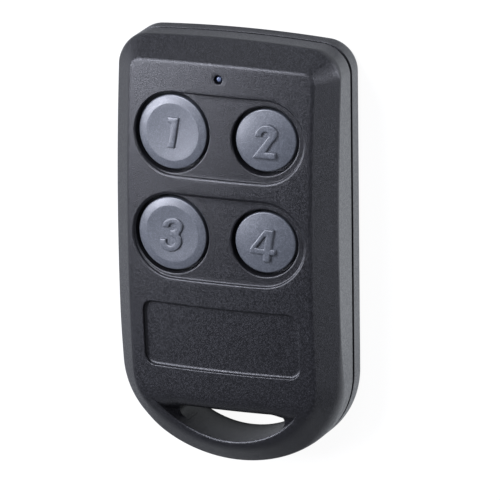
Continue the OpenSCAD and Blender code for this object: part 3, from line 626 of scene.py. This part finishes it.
def front_inside(skin, foot, bores, lamp_bore, slot):
    """The inner wall, the collars, the lamp hole, the screw bosses, the slot's sleeve and the ceiling."""
    inner = inset(WALL_T)
    ceiling = [skin.ring(inner, under_z(inner))]
    skin.strips([ceiling[0], skin.ring(inner, FRONT_Z0), foot])
    for k, bore in enumerate(bores):
        rim = keyhole(k, COLLAR_T)
        low = skin.ring(skin.xy(bore), COLLAR_Z)
        collar = skin.ring(rim, COLLAR_Z)
        ceiling.append(skin.ring(rim, under_z(rim)))
        skin.strips([bore, low, collar, ceiling[-1]])
    lamp_under = skin.ring(skin.xy(lamp_bore), under_z(skin.xy(lamp_bore)))
    skin.strip(lamp_bore, lamp_under)
    ceiling.append(lamp_under)
    for at in SCREW_AT:
        rim = keep_inside(circle(at, BOSS_R, SCREW_POINTS), inset(WALL_T + INSIDE_GAP))
        bore = circle(at, SCREW_D / 2, SCREW_POINTS)
        deep = skin.ring(bore, BORE_Z1)
        ceiling.append(skin.ring(rim, under_z(rim)))
        skin.strips([deep, skin.ring(bore, BOARD_Z1), skin.ring(rim, BOARD_Z1), ceiling[-1]])
        skin.fill([deep], level_at(BORE_Z1), FACE_STEP, down=True)
    sleeve = sleeve_outline()
    slot_foot = skin.ring(skin.xy(slot), FRONT_Z0)
    sleeve_foot = skin.ring(sleeve, FRONT_Z0)
    skin.strip(slot, slot_foot)
    skin.fill([sleeve_foot, slot_foot], level_at(FRONT_Z0), FOOT_STEP, down=True)
    ceiling.append(skin.ring(sleeve, under_z(sleeve)))
    skin.strip(sleeve_foot, ceiling[-1])
    skin.fill(ceiling, under_z, INSIDE_STEP, down=True)


def front_shell(material):
    """The front half of the case."""
    skin = Skin()
    wall = front_wall(skin)
    bores, lamp_bore, slot = front_face(skin, wall[-1])
    front_inside(skin, wall[0], bores, lamp_bore, slot)
    return skin.object("case_front", material)


def sleeve_outline():
    """The wall round the slot, inside the case."""
    r, top = SLOT_R + SLEEVE_T, SLOT_Y1 + SLEEVE_T
    end = math.degrees(math.asin((top - SLOT_CY) / r))
    bend = arc((0, SLOT_CY), r, -180 - end, end, 80)
    return np.concatenate([bend[:-1], line(bend[-1], bend[0], 40)])


# The rear shell


def slot_outline(out):
    """The slot as it passes through the rear shell, moved outwards."""
    r = SLOT_R + out
    wall = -math.degrees(math.acos(SLOT_JOIN_X / r))
    bottom = arc((0, SLOT_CY), r, -180 - wall, wall, SLOT_POINTS)
    return np.concatenate([bottom, slot_brow(bottom[-1], out)])


def fence_loops():
    """The two halves of the fence round the coin cell."""
    loops = []
    for start in (0, 180):
        a = math.degrees(math.asin(FENCE_OPEN / FENCE_R))
        b = math.degrees(math.asin(FENCE_OPEN / (FENCE_R + FENCE_T)))
        outer = arc((0, CELL_Y), FENCE_R + FENCE_T, start + b, start + 180 - b, 40)
        inner = arc((0, CELL_Y), FENCE_R, start + 180 - a, start + a, 40)
        loops.append(np.concatenate([outer, inner]))
    return loops


def rear_shell(material):
    """The rear half of the case."""
    skin = Skin()
    tongue_in = WALL_T + TONGUE_GAP
    tongue_z1 = FRONT_Z0 + TONGUE_H
    profile = round_over(BACK_ROUND, 8)
    profile += [(d, REAR_Z1 - rise) for d, rise in reversed(JOINT_CHAMFER)]
    profile += [(JOINT_DEPTH, REAR_Z1), (JOINT_DEPTH, FRONT_Z0)]
    profile += [(tongue_in, FRONT_Z0), (tongue_in, tongue_z1)]
    profile += [(tongue_in + TONGUE_T, tongue_z1), (tongue_in + TONGUE_T, FLOOR_T)]
    rings = [skin.ring(inset(d), z) for d, z in profile]
    skin.strips(rings)
    limit = inset(tongue_in + TONGUE_T + INSIDE_GAP)

    # The slot and its sleeve, from the back upwards
    slot = [skin.ring(slot_outline(out), z) for out, z in SLOT_BACK_EDGE + [(0, FRONT_Z0)]]
    sleeve = sleeve_outline()
    sleeve_top, sleeve_foot = skin.ring(sleeve, FRONT_Z0), skin.ring(sleeve, FLOOR_T)
    for a, b in zip(slot, slot[1:]):
        skin.strip(b, a)
    skin.fill([sleeve_top, slot[-1]], level_at(FRONT_Z0), FOOT_STEP)
    skin.strip(sleeve_foot, sleeve_top)
    below, above = [rings[0], slot[0]], [rings[-1], sleeve_foot]

    # The screw posts with the seats of the screw heads
    for at in SCREW_AT:
        rim = keep_inside(circle(at, POST_R, SCREW_POINTS), limit)
        bore = SCREW_D / 2 + SCREW_GAP
        seat = [(SEAT_R + out, z) for out, z in SEAT_EDGE]
        seat += [(SEAT_R, SEAT_DEPTH), (bore, SEAT_DEPTH), (bore, BOARD_Z0)]
        hole = [skin.ring(circle(at, r, SCREW_POINTS), z) for r, z in seat]
        for a, b in zip(hole, hole[1:]):
            skin.strip(b, a)
        top, low = skin.ring(rim, BOARD_Z0), skin.ring(rim, FLOOR_T)
        skin.strips([low, top, hole[-1]])
        below.append(hole[0])
        above.append(low)

    # The fence round the coin cell
    for loop in fence_loops():
        low, top = skin.ring(loop, FLOOR_T), skin.ring(loop, FLOOR_T + FENCE_H)
        skin.strip(low, top)
        skin.fill([top], level_at(FLOOR_T + FENCE_H), FACE_STEP)
        above.append(low)
    skin.fill(below, level_at(0.0), INSIDE_STEP, down=True)
    skin.fill(above, level_at(FLOOR_T), INSIDE_STEP)
    return skin.object("case_rear", material)


# The keys with their raised numbers


def bow(centre, rx, ry, start, stop):
    """Points on a part of an ellipse, by angles in degrees."""
    unit = arc((0, 0), 1, start, stop, max(4, int(abs(stop - start) / 11)))
    return [(centre[0] + rx * x, centre[1] + ry * y) for x, y in unit]


def number_loops(k):
    """The outlines of an upright number: counter-clockwise round it, then clockwise round a counter in it."""
    if k == 0:
        return [[(-0.41, -2.48), (0.77, -2.5), (0.77, 2.4), (-1.17, 2.4), (-1.05, 1.57), (-0.45, 1.32)]]
    if k == 1:
        foot = [(-1.58, -2.64), (2.2, -2.66), (2.1, -1.64), (0.52, -1.62)]
        bowl = bow((0.07, 1.08), 1.76, 1.57, -45, 194) + bow((-0.06, 0.95), 0.57, 0.57, 200, -12)
        return [foot + bowl]
    if k == 2:
        outside = bow((-0.04, -1.22), 1.88, 1.68, -191, 44) + bow((-0.03, 1.2), 1.74, 1.47, -47, 188)[1:]
        upper = bow((-0.06, 1.22), 0.56, 0.52, 204, -84)
        lower = bow((-0.05, -1.12), 0.75, 0.72, 78, -198)
        return [outside + upper + [(-0.32, 0.62), (-0.32, -0.34)] + lower]
    stem = [(-0.2, 2.3), (-2.15, -0.93), (-2.1, -1.62), (0.17, -1.74), (0.2, -2.92), (1.28, -2.92)]
    bar = [(1.28, -1.78), (2.05, -1.75), (2.02, -0.88), (1.3, -0.83), (1.3, 2.27)]
    return [stem + bar, [(0.17, 1.14), (0.1, -0.85), (-1.17, -0.72), (0.0, 1.14)]]


def turns(p):
    """How far a closed loop turns at each of its points, in degrees."""
    before, after = p - np.roll(p, 1, 0), np.roll(p, -1, 0) - p
    across = before[:, 0] * after[:, 1] - before[:, 1] * after[:, 0]
    return np.degrees(np.abs(np.arctan2(across, (before * after).sum(1))))


def ease(p, corners, r, counts=None):
    """Rounds the corners of a closed loop, and puts points along its long sides."""
    eased = []
    for i, is_corner in enumerate(corners):
        a, c, b = p[i - 1], p[i], p[(i + 1) % len(p)]
        if not is_corner:
            eased.append(c)
            continue
        u, v = a - c, b - c
        lu, lv = np.linalg.norm(u), np.linalg.norm(v)
        s = min(r, CORNER_SHARE * lu, CORNER_SHARE * lv)
        start, stop = c + u / lu * s, c + v / lv * s
        for t in np.linspace(0, 1, 5):
            eased.append(curve(start, c, stop, t))
    eased = np.array(eased)
    after = np.roll(eased, -1, 0)
    if counts is None:
        counts = [max(1, int(np.linalg.norm(b - a) / NUMBER_STEP)) for a, b in zip(eased, after)]
    return np.concatenate([line(a, b, n) for a, b, n in zip(eased, after, counts)]), counts


def move_out(loop, d):
    """A closed loop moved outwards, by its corners' directions."""
    before, after = loop - np.roll(loop, 1, 0), np.roll(loop, -1, 0) - loop
    normals = []
    for v in (before, after):
        v = v / np.linalg.norm(v, axis=1)[:, None]
        normals.append(np.stack([v[:, 1], -v[:, 0]], 1))
    mean = normals[0] + normals[1]
    mean /= np.maximum((mean * normals[0]).sum(1), 0.5)[:, None]
    return loop + mean * d


def key(k, material):
    """One key: a lathed cap in the crown's tilt, with its number, its flange and its stem."""
    skin = Skin()
    big = k % 2 == 0
    centre = np.array(KEY_AT[k])
    r = (BIG_KEY_D if big else SMALL_KEY_D) / 2
    ridge_r = r - (BIG_RIDGE_W if big else SMALL_RIDGE_W)
    dish = DISH_DEPTH if big else 0.0
    rim_z = float(crown_z(centre[None])[0]) - RECESS_DEPTH - KEY_SINK
    tilt = np.array([-centre[0] / CROWN_W_R, (CROWN_Y - centre[1]) / CROWN_L_R])

    def plane(p):
        return rim_z + (p - centre) @ tilt

    def top(p):
        """The surface of the disc inside the ring: a dish on the large keys, a low dome on the small ones."""
        away = np.hypot(*(p - centre).T) / ridge_r
        if big:
            return plane(p) + RIDGE_H - DISH_DEPTH * (1 - away**2)
        return plane(p) + RIDGE_H - SMALL_DOME * away**2

    if big:
        steps = [(r - into, h) for into, h in BIG_RIM] + [(ridge_r + out, h) for out, h in BIG_RIDGE]
    else:
        edge = SMALL_RIDGE_W
        foot = RIDGE_H - SMALL_DOME - edge
        steps = [(r, -KEY_SIDE_H), (r, foot)]
        for a in np.linspace(0.2, math.pi / 2, 7):
            steps.append((r - edge * (1 - math.cos(a)), foot + edge * math.sin(a)))
    rings = []
    for radius, h in steps:
        p = circle(centre, radius, KEY_POINTS)
        rings.append(skin.ring(p, plane(p) + h))
    p = circle(centre, ridge_r - (BIG_DISC_IN if big else SMALL_DISC_IN), KEY_POINTS)
    disc = skin.ring(p, top(p))
    skin.strips(rings + [disc])

    # The number, with a rounded upper edge and a level strip beside its foot and its edge
    level = RIDGE_H - dish + NUMBER_H
    feet, heads = [], []
    for points in number_loops(k):
        points = np.array(points)
        points = np.stack([points[:, 0] + points[:, 1] * math.tan(NUMBER_SLANT), points[:, 1]], 1)
        corners, counts, sides = turns(points) > NUMBER_CORNER_TURN, None, []
        for n, (out, move) in enumerate(NUMBER_FOOT + NUMBER_EDGE):
            corner_r = max(NUMBER_CORNER_MIN, NUMBER_CORNER_R + out * 0.5)
            loop, counts = ease(move_out(points, out), corners, corner_r, counts)
            p = centre + loop
            sides.append(skin.ring(p, top(p) + move if n < len(NUMBER_FOOT) else plane(p) + level - move))
        skin.strips(sides)
        feet.append(sides[0])
        heads.append(sides[-1])
    skin.fill([disc, feet[0]], top, KEY_STEP)
    if len(feet) > 1:
        skin.fill([feet[1][::-1]], top, COUNTER_STEP)
    skin.fill(heads, lambda p: plane(p) + level, SMALL_STEP)

    # The side, the flange and the hollow with its stem
    flange_r = r + KEY_GAP + FLANGE_LIP
    hollow_z = rim_z - KEY_CAP_T
    stem_r = PLUNGER_D / 2 + STEM_LIP
    under = [
        (stem_r, KEY_Z0), (stem_r, hollow_z), (r - KEY_WALL_T, hollow_z), (r - KEY_WALL_T, KEY_Z0),
        (flange_r, KEY_Z0), (flange_r, KEY_Z0 + FLANGE_T), (r, KEY_Z0 + FLANGE_T),
    ]
    lower = [skin.ring(circle(centre, radius, KEY_POINTS), z) for radius, z in under]
    skin.strips(lower + [rings[0]])
    skin.fill([lower[0]], level_at(KEY_Z0), FOOT_STEP, down=True)
    return skin.object(f"key_{k + 1}_cap", material)


def lamp_lens(material):
    """The light pipe: a stem with a flange and a domed end."""
    skin = Skin()
    face = float(crown_z(np.array([[0, LAMP_Y]]))[0])
    r, flange_r = PIPE_D / 2, PIPE_FLANGE_D / 2
    flange_z = face - WALL_T - PIPE_FLANGE_GAP - PIPE_FLANGE_H
    steps = [(r, BOARD_Z1 + LAMP_CHIP_H), (r, flange_z), (flange_r, flange_z)]
    steps += [(flange_r, flange_z + PIPE_FLANGE_H), (r, flange_z + PIPE_FLANGE_H)]
    tip = face - PIPE_SINK
    steps += [(r, tip - TIP_SHOULDER), (TIP_R, tip - TIP_NECK)]
    for a in np.radians((0, 15, 30, 45, 60, 75)):
        steps.append((TIP_R * math.cos(a), tip - TIP_DOME * (1 - math.sin(a))))
    rings = [skin.ring(circle((0, LAMP_Y), radius, LAMP_POINTS), z) for radius, z in steps]
    skin.strips(rings)
    skin.fill([rings[0]], level_at(steps[0][1]), SMALL_STEP, down=True)
    skin.fill([rings[-1]], level_at(tip), SMALL_STEP)
    return skin.object("lamp_lens", material)


# Materials


# The part of a noise's range that is used, and how far gloss departs from its mean in plastic and metal
NOISE_RANGE, PLASTIC_GLOSS, METAL_GLOSS = (0.3, 0.7), 0.08, (0.08, 0.1)


def add_node(tree, kind, inputs, operation=None):
    """A new node with its inputs, by their names or numbers: each is a constant or comes from a socket."""
    node = tree.nodes.new("ShaderNode" + kind)
    if operation:
        node.operation = operation
    feed(tree, node, inputs)
    return node


def feed(tree, node, inputs):
    """Sets a node's inputs to constants or links sockets to them."""
    for name, value in inputs.items():
        if isinstance(value, bpy.types.NodeSocket):
            tree.links.new(value, node.inputs[name])
        else:
            node.inputs[name].default_value = value


def node_material(name):
    """A material with its node tree, its shader and the object's own coordinates."""
    material = bpy.data.materials.new(name)
    material.use_nodes = True
    tree = material.node_tree
    shader = next(n for n in tree.nodes if n.type == "BSDF_PRINCIPLED")
    return material, tree, shader, add_node(tree, "TexCoord", {}).outputs["Object"]


def noise(tree, where, size_mm, detail=2.0, stretch=None):
    """A noise with spots of about a size."""
    if stretch:
        where = add_node(tree, "Mapping", {"Vector": where, "Scale": stretch}).outputs["Vector"]
    spots = {"Vector": where, "Scale": 1 / (size_mm * MM), "Detail": detail, "Roughness": 0.65}
    return add_node(tree, "TexNoise", spots).outputs["Fac"]


def grains(tree, where, size_mm):
    """A level for each of many small cells."""
    return add_node(tree, "TexVoronoi", {"Vector": where, "Scale": 1 / (size_mm * MM)}).outputs["Color"]


def ramp(tree, value, stops):
    """A colour for each value."""
    node = add_node(tree, "ValToRGB", {"Fac": value})
    elements = node.color_ramp.elements
    while len(elements) < len(stops):
        elements.new(0.5)
    for element, (at, colour) in zip(elements, stops):
        element.position = at
        element.color = (*colour, 1)
    return node.outputs["Color"]


def spread(tree, value, low, high):
    """A number from one limit to another, by a noise or a grain."""
    limits = {"From Min": NOISE_RANGE[0], "From Max": NOISE_RANGE[1], "To Min": low, "To Max": high}
    return add_node(tree, "MapRange", {"Value": value, **limits}).outputs["Result"]


def bump(tree, value, height_mm, strength=1.0):
    """A relief of the given height."""
    relief = {"Height": value, "Distance": height_mm * MM, "Strength": strength}
    return add_node(tree, "Bump", relief).outputs["Normal"]


def shade(colour, k):
    """A colour made darker or lighter."""
    return tuple(c * k for c in colour)


def grained_plastic(name, colour, roughness, grain_mm, depth_mm, contrast, specular=0.5):
    """Moulded plastic with a fine spark-eroded grain, whose lighter grains are the rougher ones."""
    material, tree, shader, where = node_material(name)
    speck = grains(tree, where, grain_mm)
    dark, light = shade(colour, 1 - contrast), shade(colour, 1 + 2 * contrast)
    looks = {
        "Base Color": ramp(tree, speck, [(0.1, dark), (0.6, colour), (0.9, light)]),
        "Roughness": spread(tree, speck, roughness - PLASTIC_GLOSS, roughness + PLASTIC_GLOSS),
        "Specular IOR Level": specular,
        "Normal": bump(tree, noise(tree, where, grain_mm, 4.0), depth_mm),
    }
    feed(tree, shader, looks)
    return material


def metal(name, colour, roughness, grain_mm, stretch):
    """Rolled or plated metal with fine lines."""
    material, tree, shader, where = node_material(name)
    lines = noise(tree, where, grain_mm, 3.0, stretch)
    looks = {
        "Base Color": ramp(tree, lines, [(NOISE_RANGE[0], shade(colour, 0.85)), (NOISE_RANGE[1], colour)]),
        "Roughness": spread(tree, lines, roughness - METAL_GLOSS[0], roughness + METAL_GLOSS[1]),
        "Metallic": 1.0,
        "Normal": bump(tree, lines, 0.01),
    }
    feed(tree, shader, looks)
    return material


def board_mask():
    """Green solder mask over faint copper runs."""
    material, tree, shader, where = node_material("solder_mask")
    cells = add_node(tree, "TexVoronoi", {})
    cells.distance = "CHEBYCHEV"
    cells.feature = "DISTANCE_TO_EDGE"
    feed(tree, cells, {"Vector": where, "Scale": 1 / (2.5 * MM)})
    edge = cells.outputs["Distance"]
    looks = {
        "Base Color": ramp(tree, edge, [(0.06, (0.05, 0.24, 0.1)), (0.1, (0.02, 0.13, 0.06))]),
        "Roughness": spread(tree, noise(tree, where, 0.8), 0.3, 0.4),
        "Normal": bump(tree, edge, 0.02, 0.4),
    }
    feed(tree, shader, looks)
    return material


def clear_lens():
    """Slightly blue clear plastic."""
    material, tree, shader, where = node_material("clear_lens")
    cloud = noise(tree, where, 0.5)
    looks = {
        "Base Color": ramp(tree, cloud, [(0.3, (0.12, 0.15, 0.24)), (0.7, (0.2, 0.25, 0.38))]),
        "Roughness": spread(tree, cloud, 0.1, 0.2),
        "Transmission Weight": 0.35,
        "IOR": 1.49,
    }
    feed(tree, shader, looks)
    return material


# Plastics: colour, roughness, the grain's size and depth in millimetres, its contrast, and any other gloss
case_plastic = grained_plastic("case_plastic", (0.0095, 0.0095, 0.011), 0.36, 0.16, 0.042, 0.45)
key_plastic = grained_plastic("key_plastic", (0.07, 0.076, 0.087), 0.38, 0.11, 0.005, 0.25, 0.8)
black_plastic = grained_plastic("black_plastic", (0.012, 0.012, 0.013), 0.4, 0.1, 0.01, 0.2)
ceramic = grained_plastic("ceramic", (0.42, 0.3, 0.18), 0.5, 0.1, 0.008, 0.15)
lamp_white = grained_plastic("lamp_white", (0.8, 0.8, 0.76), 0.35, 0.1, 0.005, 0.06)
# Metals: colour, roughness, the size of the lines in millimetres, and how they are stretched
steel = metal("plated_steel", (0.62, 0.63, 0.65), 0.3, 0.4, (1, 12, 1))
cell_can = metal("nickel_can", (0.68, 0.68, 0.69), 0.28, 0.5, (1, 16, 1))
brass = metal("sheet_brass", (0.75, 0.56, 0.28), 0.32, 0.4, (12, 1, 1))
copper = metal("copper_strip", (0.72, 0.38, 0.2), 0.34, 0.4, (12, 1, 1))
solder_mask = board_mask()
lens = clear_lens()

# The new pieces stand for their nodes and ride on the same bodies

for piece, body, node, slot in [
    (front_shell(case_plastic), "case", "front_shell", "case_plastic"),
    (rear_shell(case_plastic), "case", "rear_shell", "case_plastic"),
    (lamp_lens(lens), "case", "light_pipe", "lamp_lens"),
    *[(key(k, key_plastic), f"key_{k + 1}", f"button_{k + 1}", "key_plastic") for k in range(4)],
]:
    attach(piece, body)
    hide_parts(node)

NODE_MATERIALS = {
    "lamp_chip": lamp_white,
    "circuit_board": solder_mask,
    "switch_covers": steel,
    "switch_domes": steel,
    "coin_cell": cell_can,
    "cell_clip": brass,
    "cell_contact": brass,
    "crystal_can": steel,
    "antenna_loop": copper,
    "chip_capacitors": ceramic,
    "case_screws": steel,
}
for name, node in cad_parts.items():
    node.data.materials.clear()
    node.data.materials.append(NODE_MATERIALS.get(name, black_plastic))

# The floor, the surround, the lamps and the camera

WHITE = (1.0, 1.0, 1.0, 1.0)
# The floor: its radius and height in metres, its colour, and how much of the graded white is mixed in
FLOOR_R, FLOOR_Z, FLOOR_COLOUR, FLOOR_SHARE = 3.0, -0.0002, (0.9, 0.9, 0.9, 1.0), 0.9
# How white the floor is to the camera, and how bright and of which colour in reflections
FLOOR_WHITE, FLOOR_GLOSS, FLOOR_TINT = 1.05, 1.9, (0.9, 0.94, 1.0)
# Painted shade in the floor's reflections: its level by places along each axis in millimetres, darker to the
# left and towards the ring end, with a painted contact shadow just beyond the lamp end
FLOOR_PAINTED_SHADE = {
    "X": [(-30, 0.38), (-15, 0.45), (18, 0.7), (20, 1.0), (40, 0.95)],
    "Y": [
        (-60, 0.3), (-31, 0.6), (-24, 0.8), (-10, 0.95), (34, 0.9),
        (34.4, 0.05), (35.4, 0.1), (36, 0.7), (40, 0.6), (60, 0.6),
    ],
}
# The painted shadow in reflections under the bar behind the slot, by distances from the centre of the slot's
# curved side: dark from the slot's wall to the ring end
SLOT_PAINTED_SHADOW = [(0, 0.7), (14.2, 0.7), (14.4, 0.0), (18.3, 0.0), (18.6, 1), (60, 1)]
SURROUND_TINT, SURROUND_LEVEL = (0.88, 0.92, 1.06, 1.0), 0.2
# The lamps: their angles round and above the floor, their sizes in metres, and how bright they are
LAMP_TINT, LAMP_DISTANCE = (0.91, 0.935, 1.08), 1.3
LAMPS = [
    ("key_light", 168, 48, 0.45, 20.0),
    ("edge_light", 122, 45, 0.35, 42.0),
    ("low_light", 170, 20, 0.35, 18.0),
    ("top_light", 88, 60, 0.4, 7.5),
    ("corner_light", 22, 3, 0.13, 150.0),
    ("side_light", 345, 9, 0.4, 1.6),
]
# The camera: its sensor and lens in millimetres, its place and aim in metres, and its roll in degrees
SENSOR_W, LENS = 36.0, 604.2
CAMERA_AT, CAMERA_AIM = (0.469929, 0.376658, 1.165098), (0.0061114, 0.0031411, 0.0155202)
CAMERA_ROLL = -0.667


def level_along(tree, place, levels):
    """A level by a place, with even changes between the given places."""
    first, last = levels[0][0], levels[-1][0]
    limits = {"From Min": first * MM, "From Max": last * MM}
    along = add_node(tree, "MapRange", {"Value": place, **limits}).outputs["Result"]
    return ramp(tree, along, [((at - first) / (last - first), (level, level, level)) for at, level in levels])


def combine(tree, operation, a, b):
    """A number from two others, each of them a socket or a constant."""
    return add_node(tree, "Math", {0: a, 1: b}, operation).outputs[0]


def pale_floor():
    """A pale floor that looks white to the camera, carries painted shade and a painted contact shadow in
    reflections, and keeps a soft shadow.
    """
    bpy.ops.mesh.primitive_circle_add(vertices=96, radius=FLOOR_R, fill_type="NGON", location=(0, 0, FLOOR_Z))
    floor = bpy.context.object
    floor.name = "floor"
    material = bpy.data.materials.new("pale_floor")
    material.use_nodes = True
    tree = material.node_tree
    tree.nodes.clear()
    path = add_node(tree, "LightPath", {}).outputs

    # The painted shade in reflections, by the place on the floor and by the distance from the slot
    where = add_node(tree, "TexCoord", {}).outputs["Object"]
    apart = add_node(tree, "SeparateXYZ", {0: where}).outputs
    along_x, along_y = [level_along(tree, apart[axis], FLOOR_PAINTED_SHADE[axis]) for axis in "XY"]
    away = add_node(tree, "VectorMath", {0: where, 1: (0, SLOT_CY * MM, 0)}, "DISTANCE").outputs["Value"]
    painted_shade = combine(tree, "MULTIPLY", along_x, along_y)
    painted_shade = combine(tree, "MULTIPLY", painted_shade, level_along(tree, away, SLOT_PAINTED_SHADOW))
    gloss = combine(tree, "MULTIPLY", painted_shade, FLOOR_GLOSS)

    # White to the camera, and the painted shade in reflections
    tint = ramp(tree, path["Is Camera Ray"], [(0, FLOOR_TINT), (1, WHITE[:3])])
    level = add_node(tree, "Mix", {"Factor": path["Is Camera Ray"], "A": gloss, "B": FLOOR_WHITE})
    white = add_node(tree, "Emission", {"Color": tint, "Strength": level.outputs["Result"]})

    # A plain pale floor for all other light, and a share of it everywhere, for the shadow
    diffuse = add_node(tree, "BsdfDiffuse", {"Color": FLOOR_COLOUR})
    seen = combine(tree, "MAXIMUM", path["Is Camera Ray"], path["Is Glossy Ray"])
    seen = combine(tree, "MAXIMUM", seen, path["Is Transmission Ray"])
    share = combine(tree, "MULTIPLY", seen, FLOOR_SHARE)
    mix = add_node(tree, "MixShader", {"Fac": share, 1: diffuse.outputs[0], 2: white.outputs[0]})
    add_node(tree, "OutputMaterial", {"Surface": mix.outputs[0]})
    floor.data.materials.append(material)


def pale_world():
    """A soft grey surround that looks white to the camera."""
    world = bpy.data.worlds.new("surround")
    bpy.context.scene.world = world
    world.use_nodes = True
    tree = world.node_tree
    tree.nodes.clear()
    to_camera = add_node(tree, "LightPath", {}).outputs["Is Camera Ray"]
    soft = add_node(tree, "Background", {"Color": SURROUND_TINT, "Strength": SURROUND_LEVEL})
    white = add_node(tree, "Background", {"Color": WHITE, "Strength": 1.0})
    mix = add_node(tree, "MixShader", {"Fac": to_camera, 1: soft.outputs[0], 2: white.outputs[0]})
    add_node(tree, "OutputWorld", {"Surface": mix.outputs[0]})


def softbox(name, turn, height, size, radiance):
    """A square lamp of an even brightness, turned to the fob, by its angles round and above the floor."""
    light = bpy.data.lights.new(name, "AREA")
    light.color = LAMP_TINT
    light.size = size
    light.energy = radiance * math.pi * size**2
    obj = bpy.data.objects.new(name, light)
    turn, height = math.radians(turn), math.radians(height)
    way = Vector((math.cos(height) * math.cos(turn), math.cos(height) * math.sin(turn), math.sin(height)))
    obj.location = way * LAMP_DISTANCE
    obj.rotation_euler = (-way).to_track_quat("-Z", "Y").to_euler()
    bpy.context.scene.collection.objects.link(obj)


def photo_camera():
    """A long lens above the face, a little from the small keys' side and from the lamp end."""
    data = bpy.data.cameras.new("camera")
    data.sensor_width = SENSOR_W
    data.lens = LENS
    data.clip_start, data.clip_end = 0.05, 20.0
    camera = bpy.data.objects.new("camera", data)
    at, aim = Vector(CAMERA_AT), Vector(CAMERA_AIM)
    back = (at - aim).normalized()
    right = Vector((0, 1, 0)).cross(back).normalized()
    up = back.cross(right)
    turn = Matrix((right, up, back)).transposed().to_4x4()
    roll = Matrix.Rotation(math.radians(CAMERA_ROLL), 4, "Z")
    camera.matrix_world = Matrix.Translation(at) @ turn @ roll
    bpy.context.scene.collection.objects.link(camera)
    bpy.context.scene.camera = camera


pale_floor()
pale_world()
for lamp in LAMPS:
    softbox(*lamp)
photo_camera()
bpy.context.scene.view_settings.view_transform = "Standard"
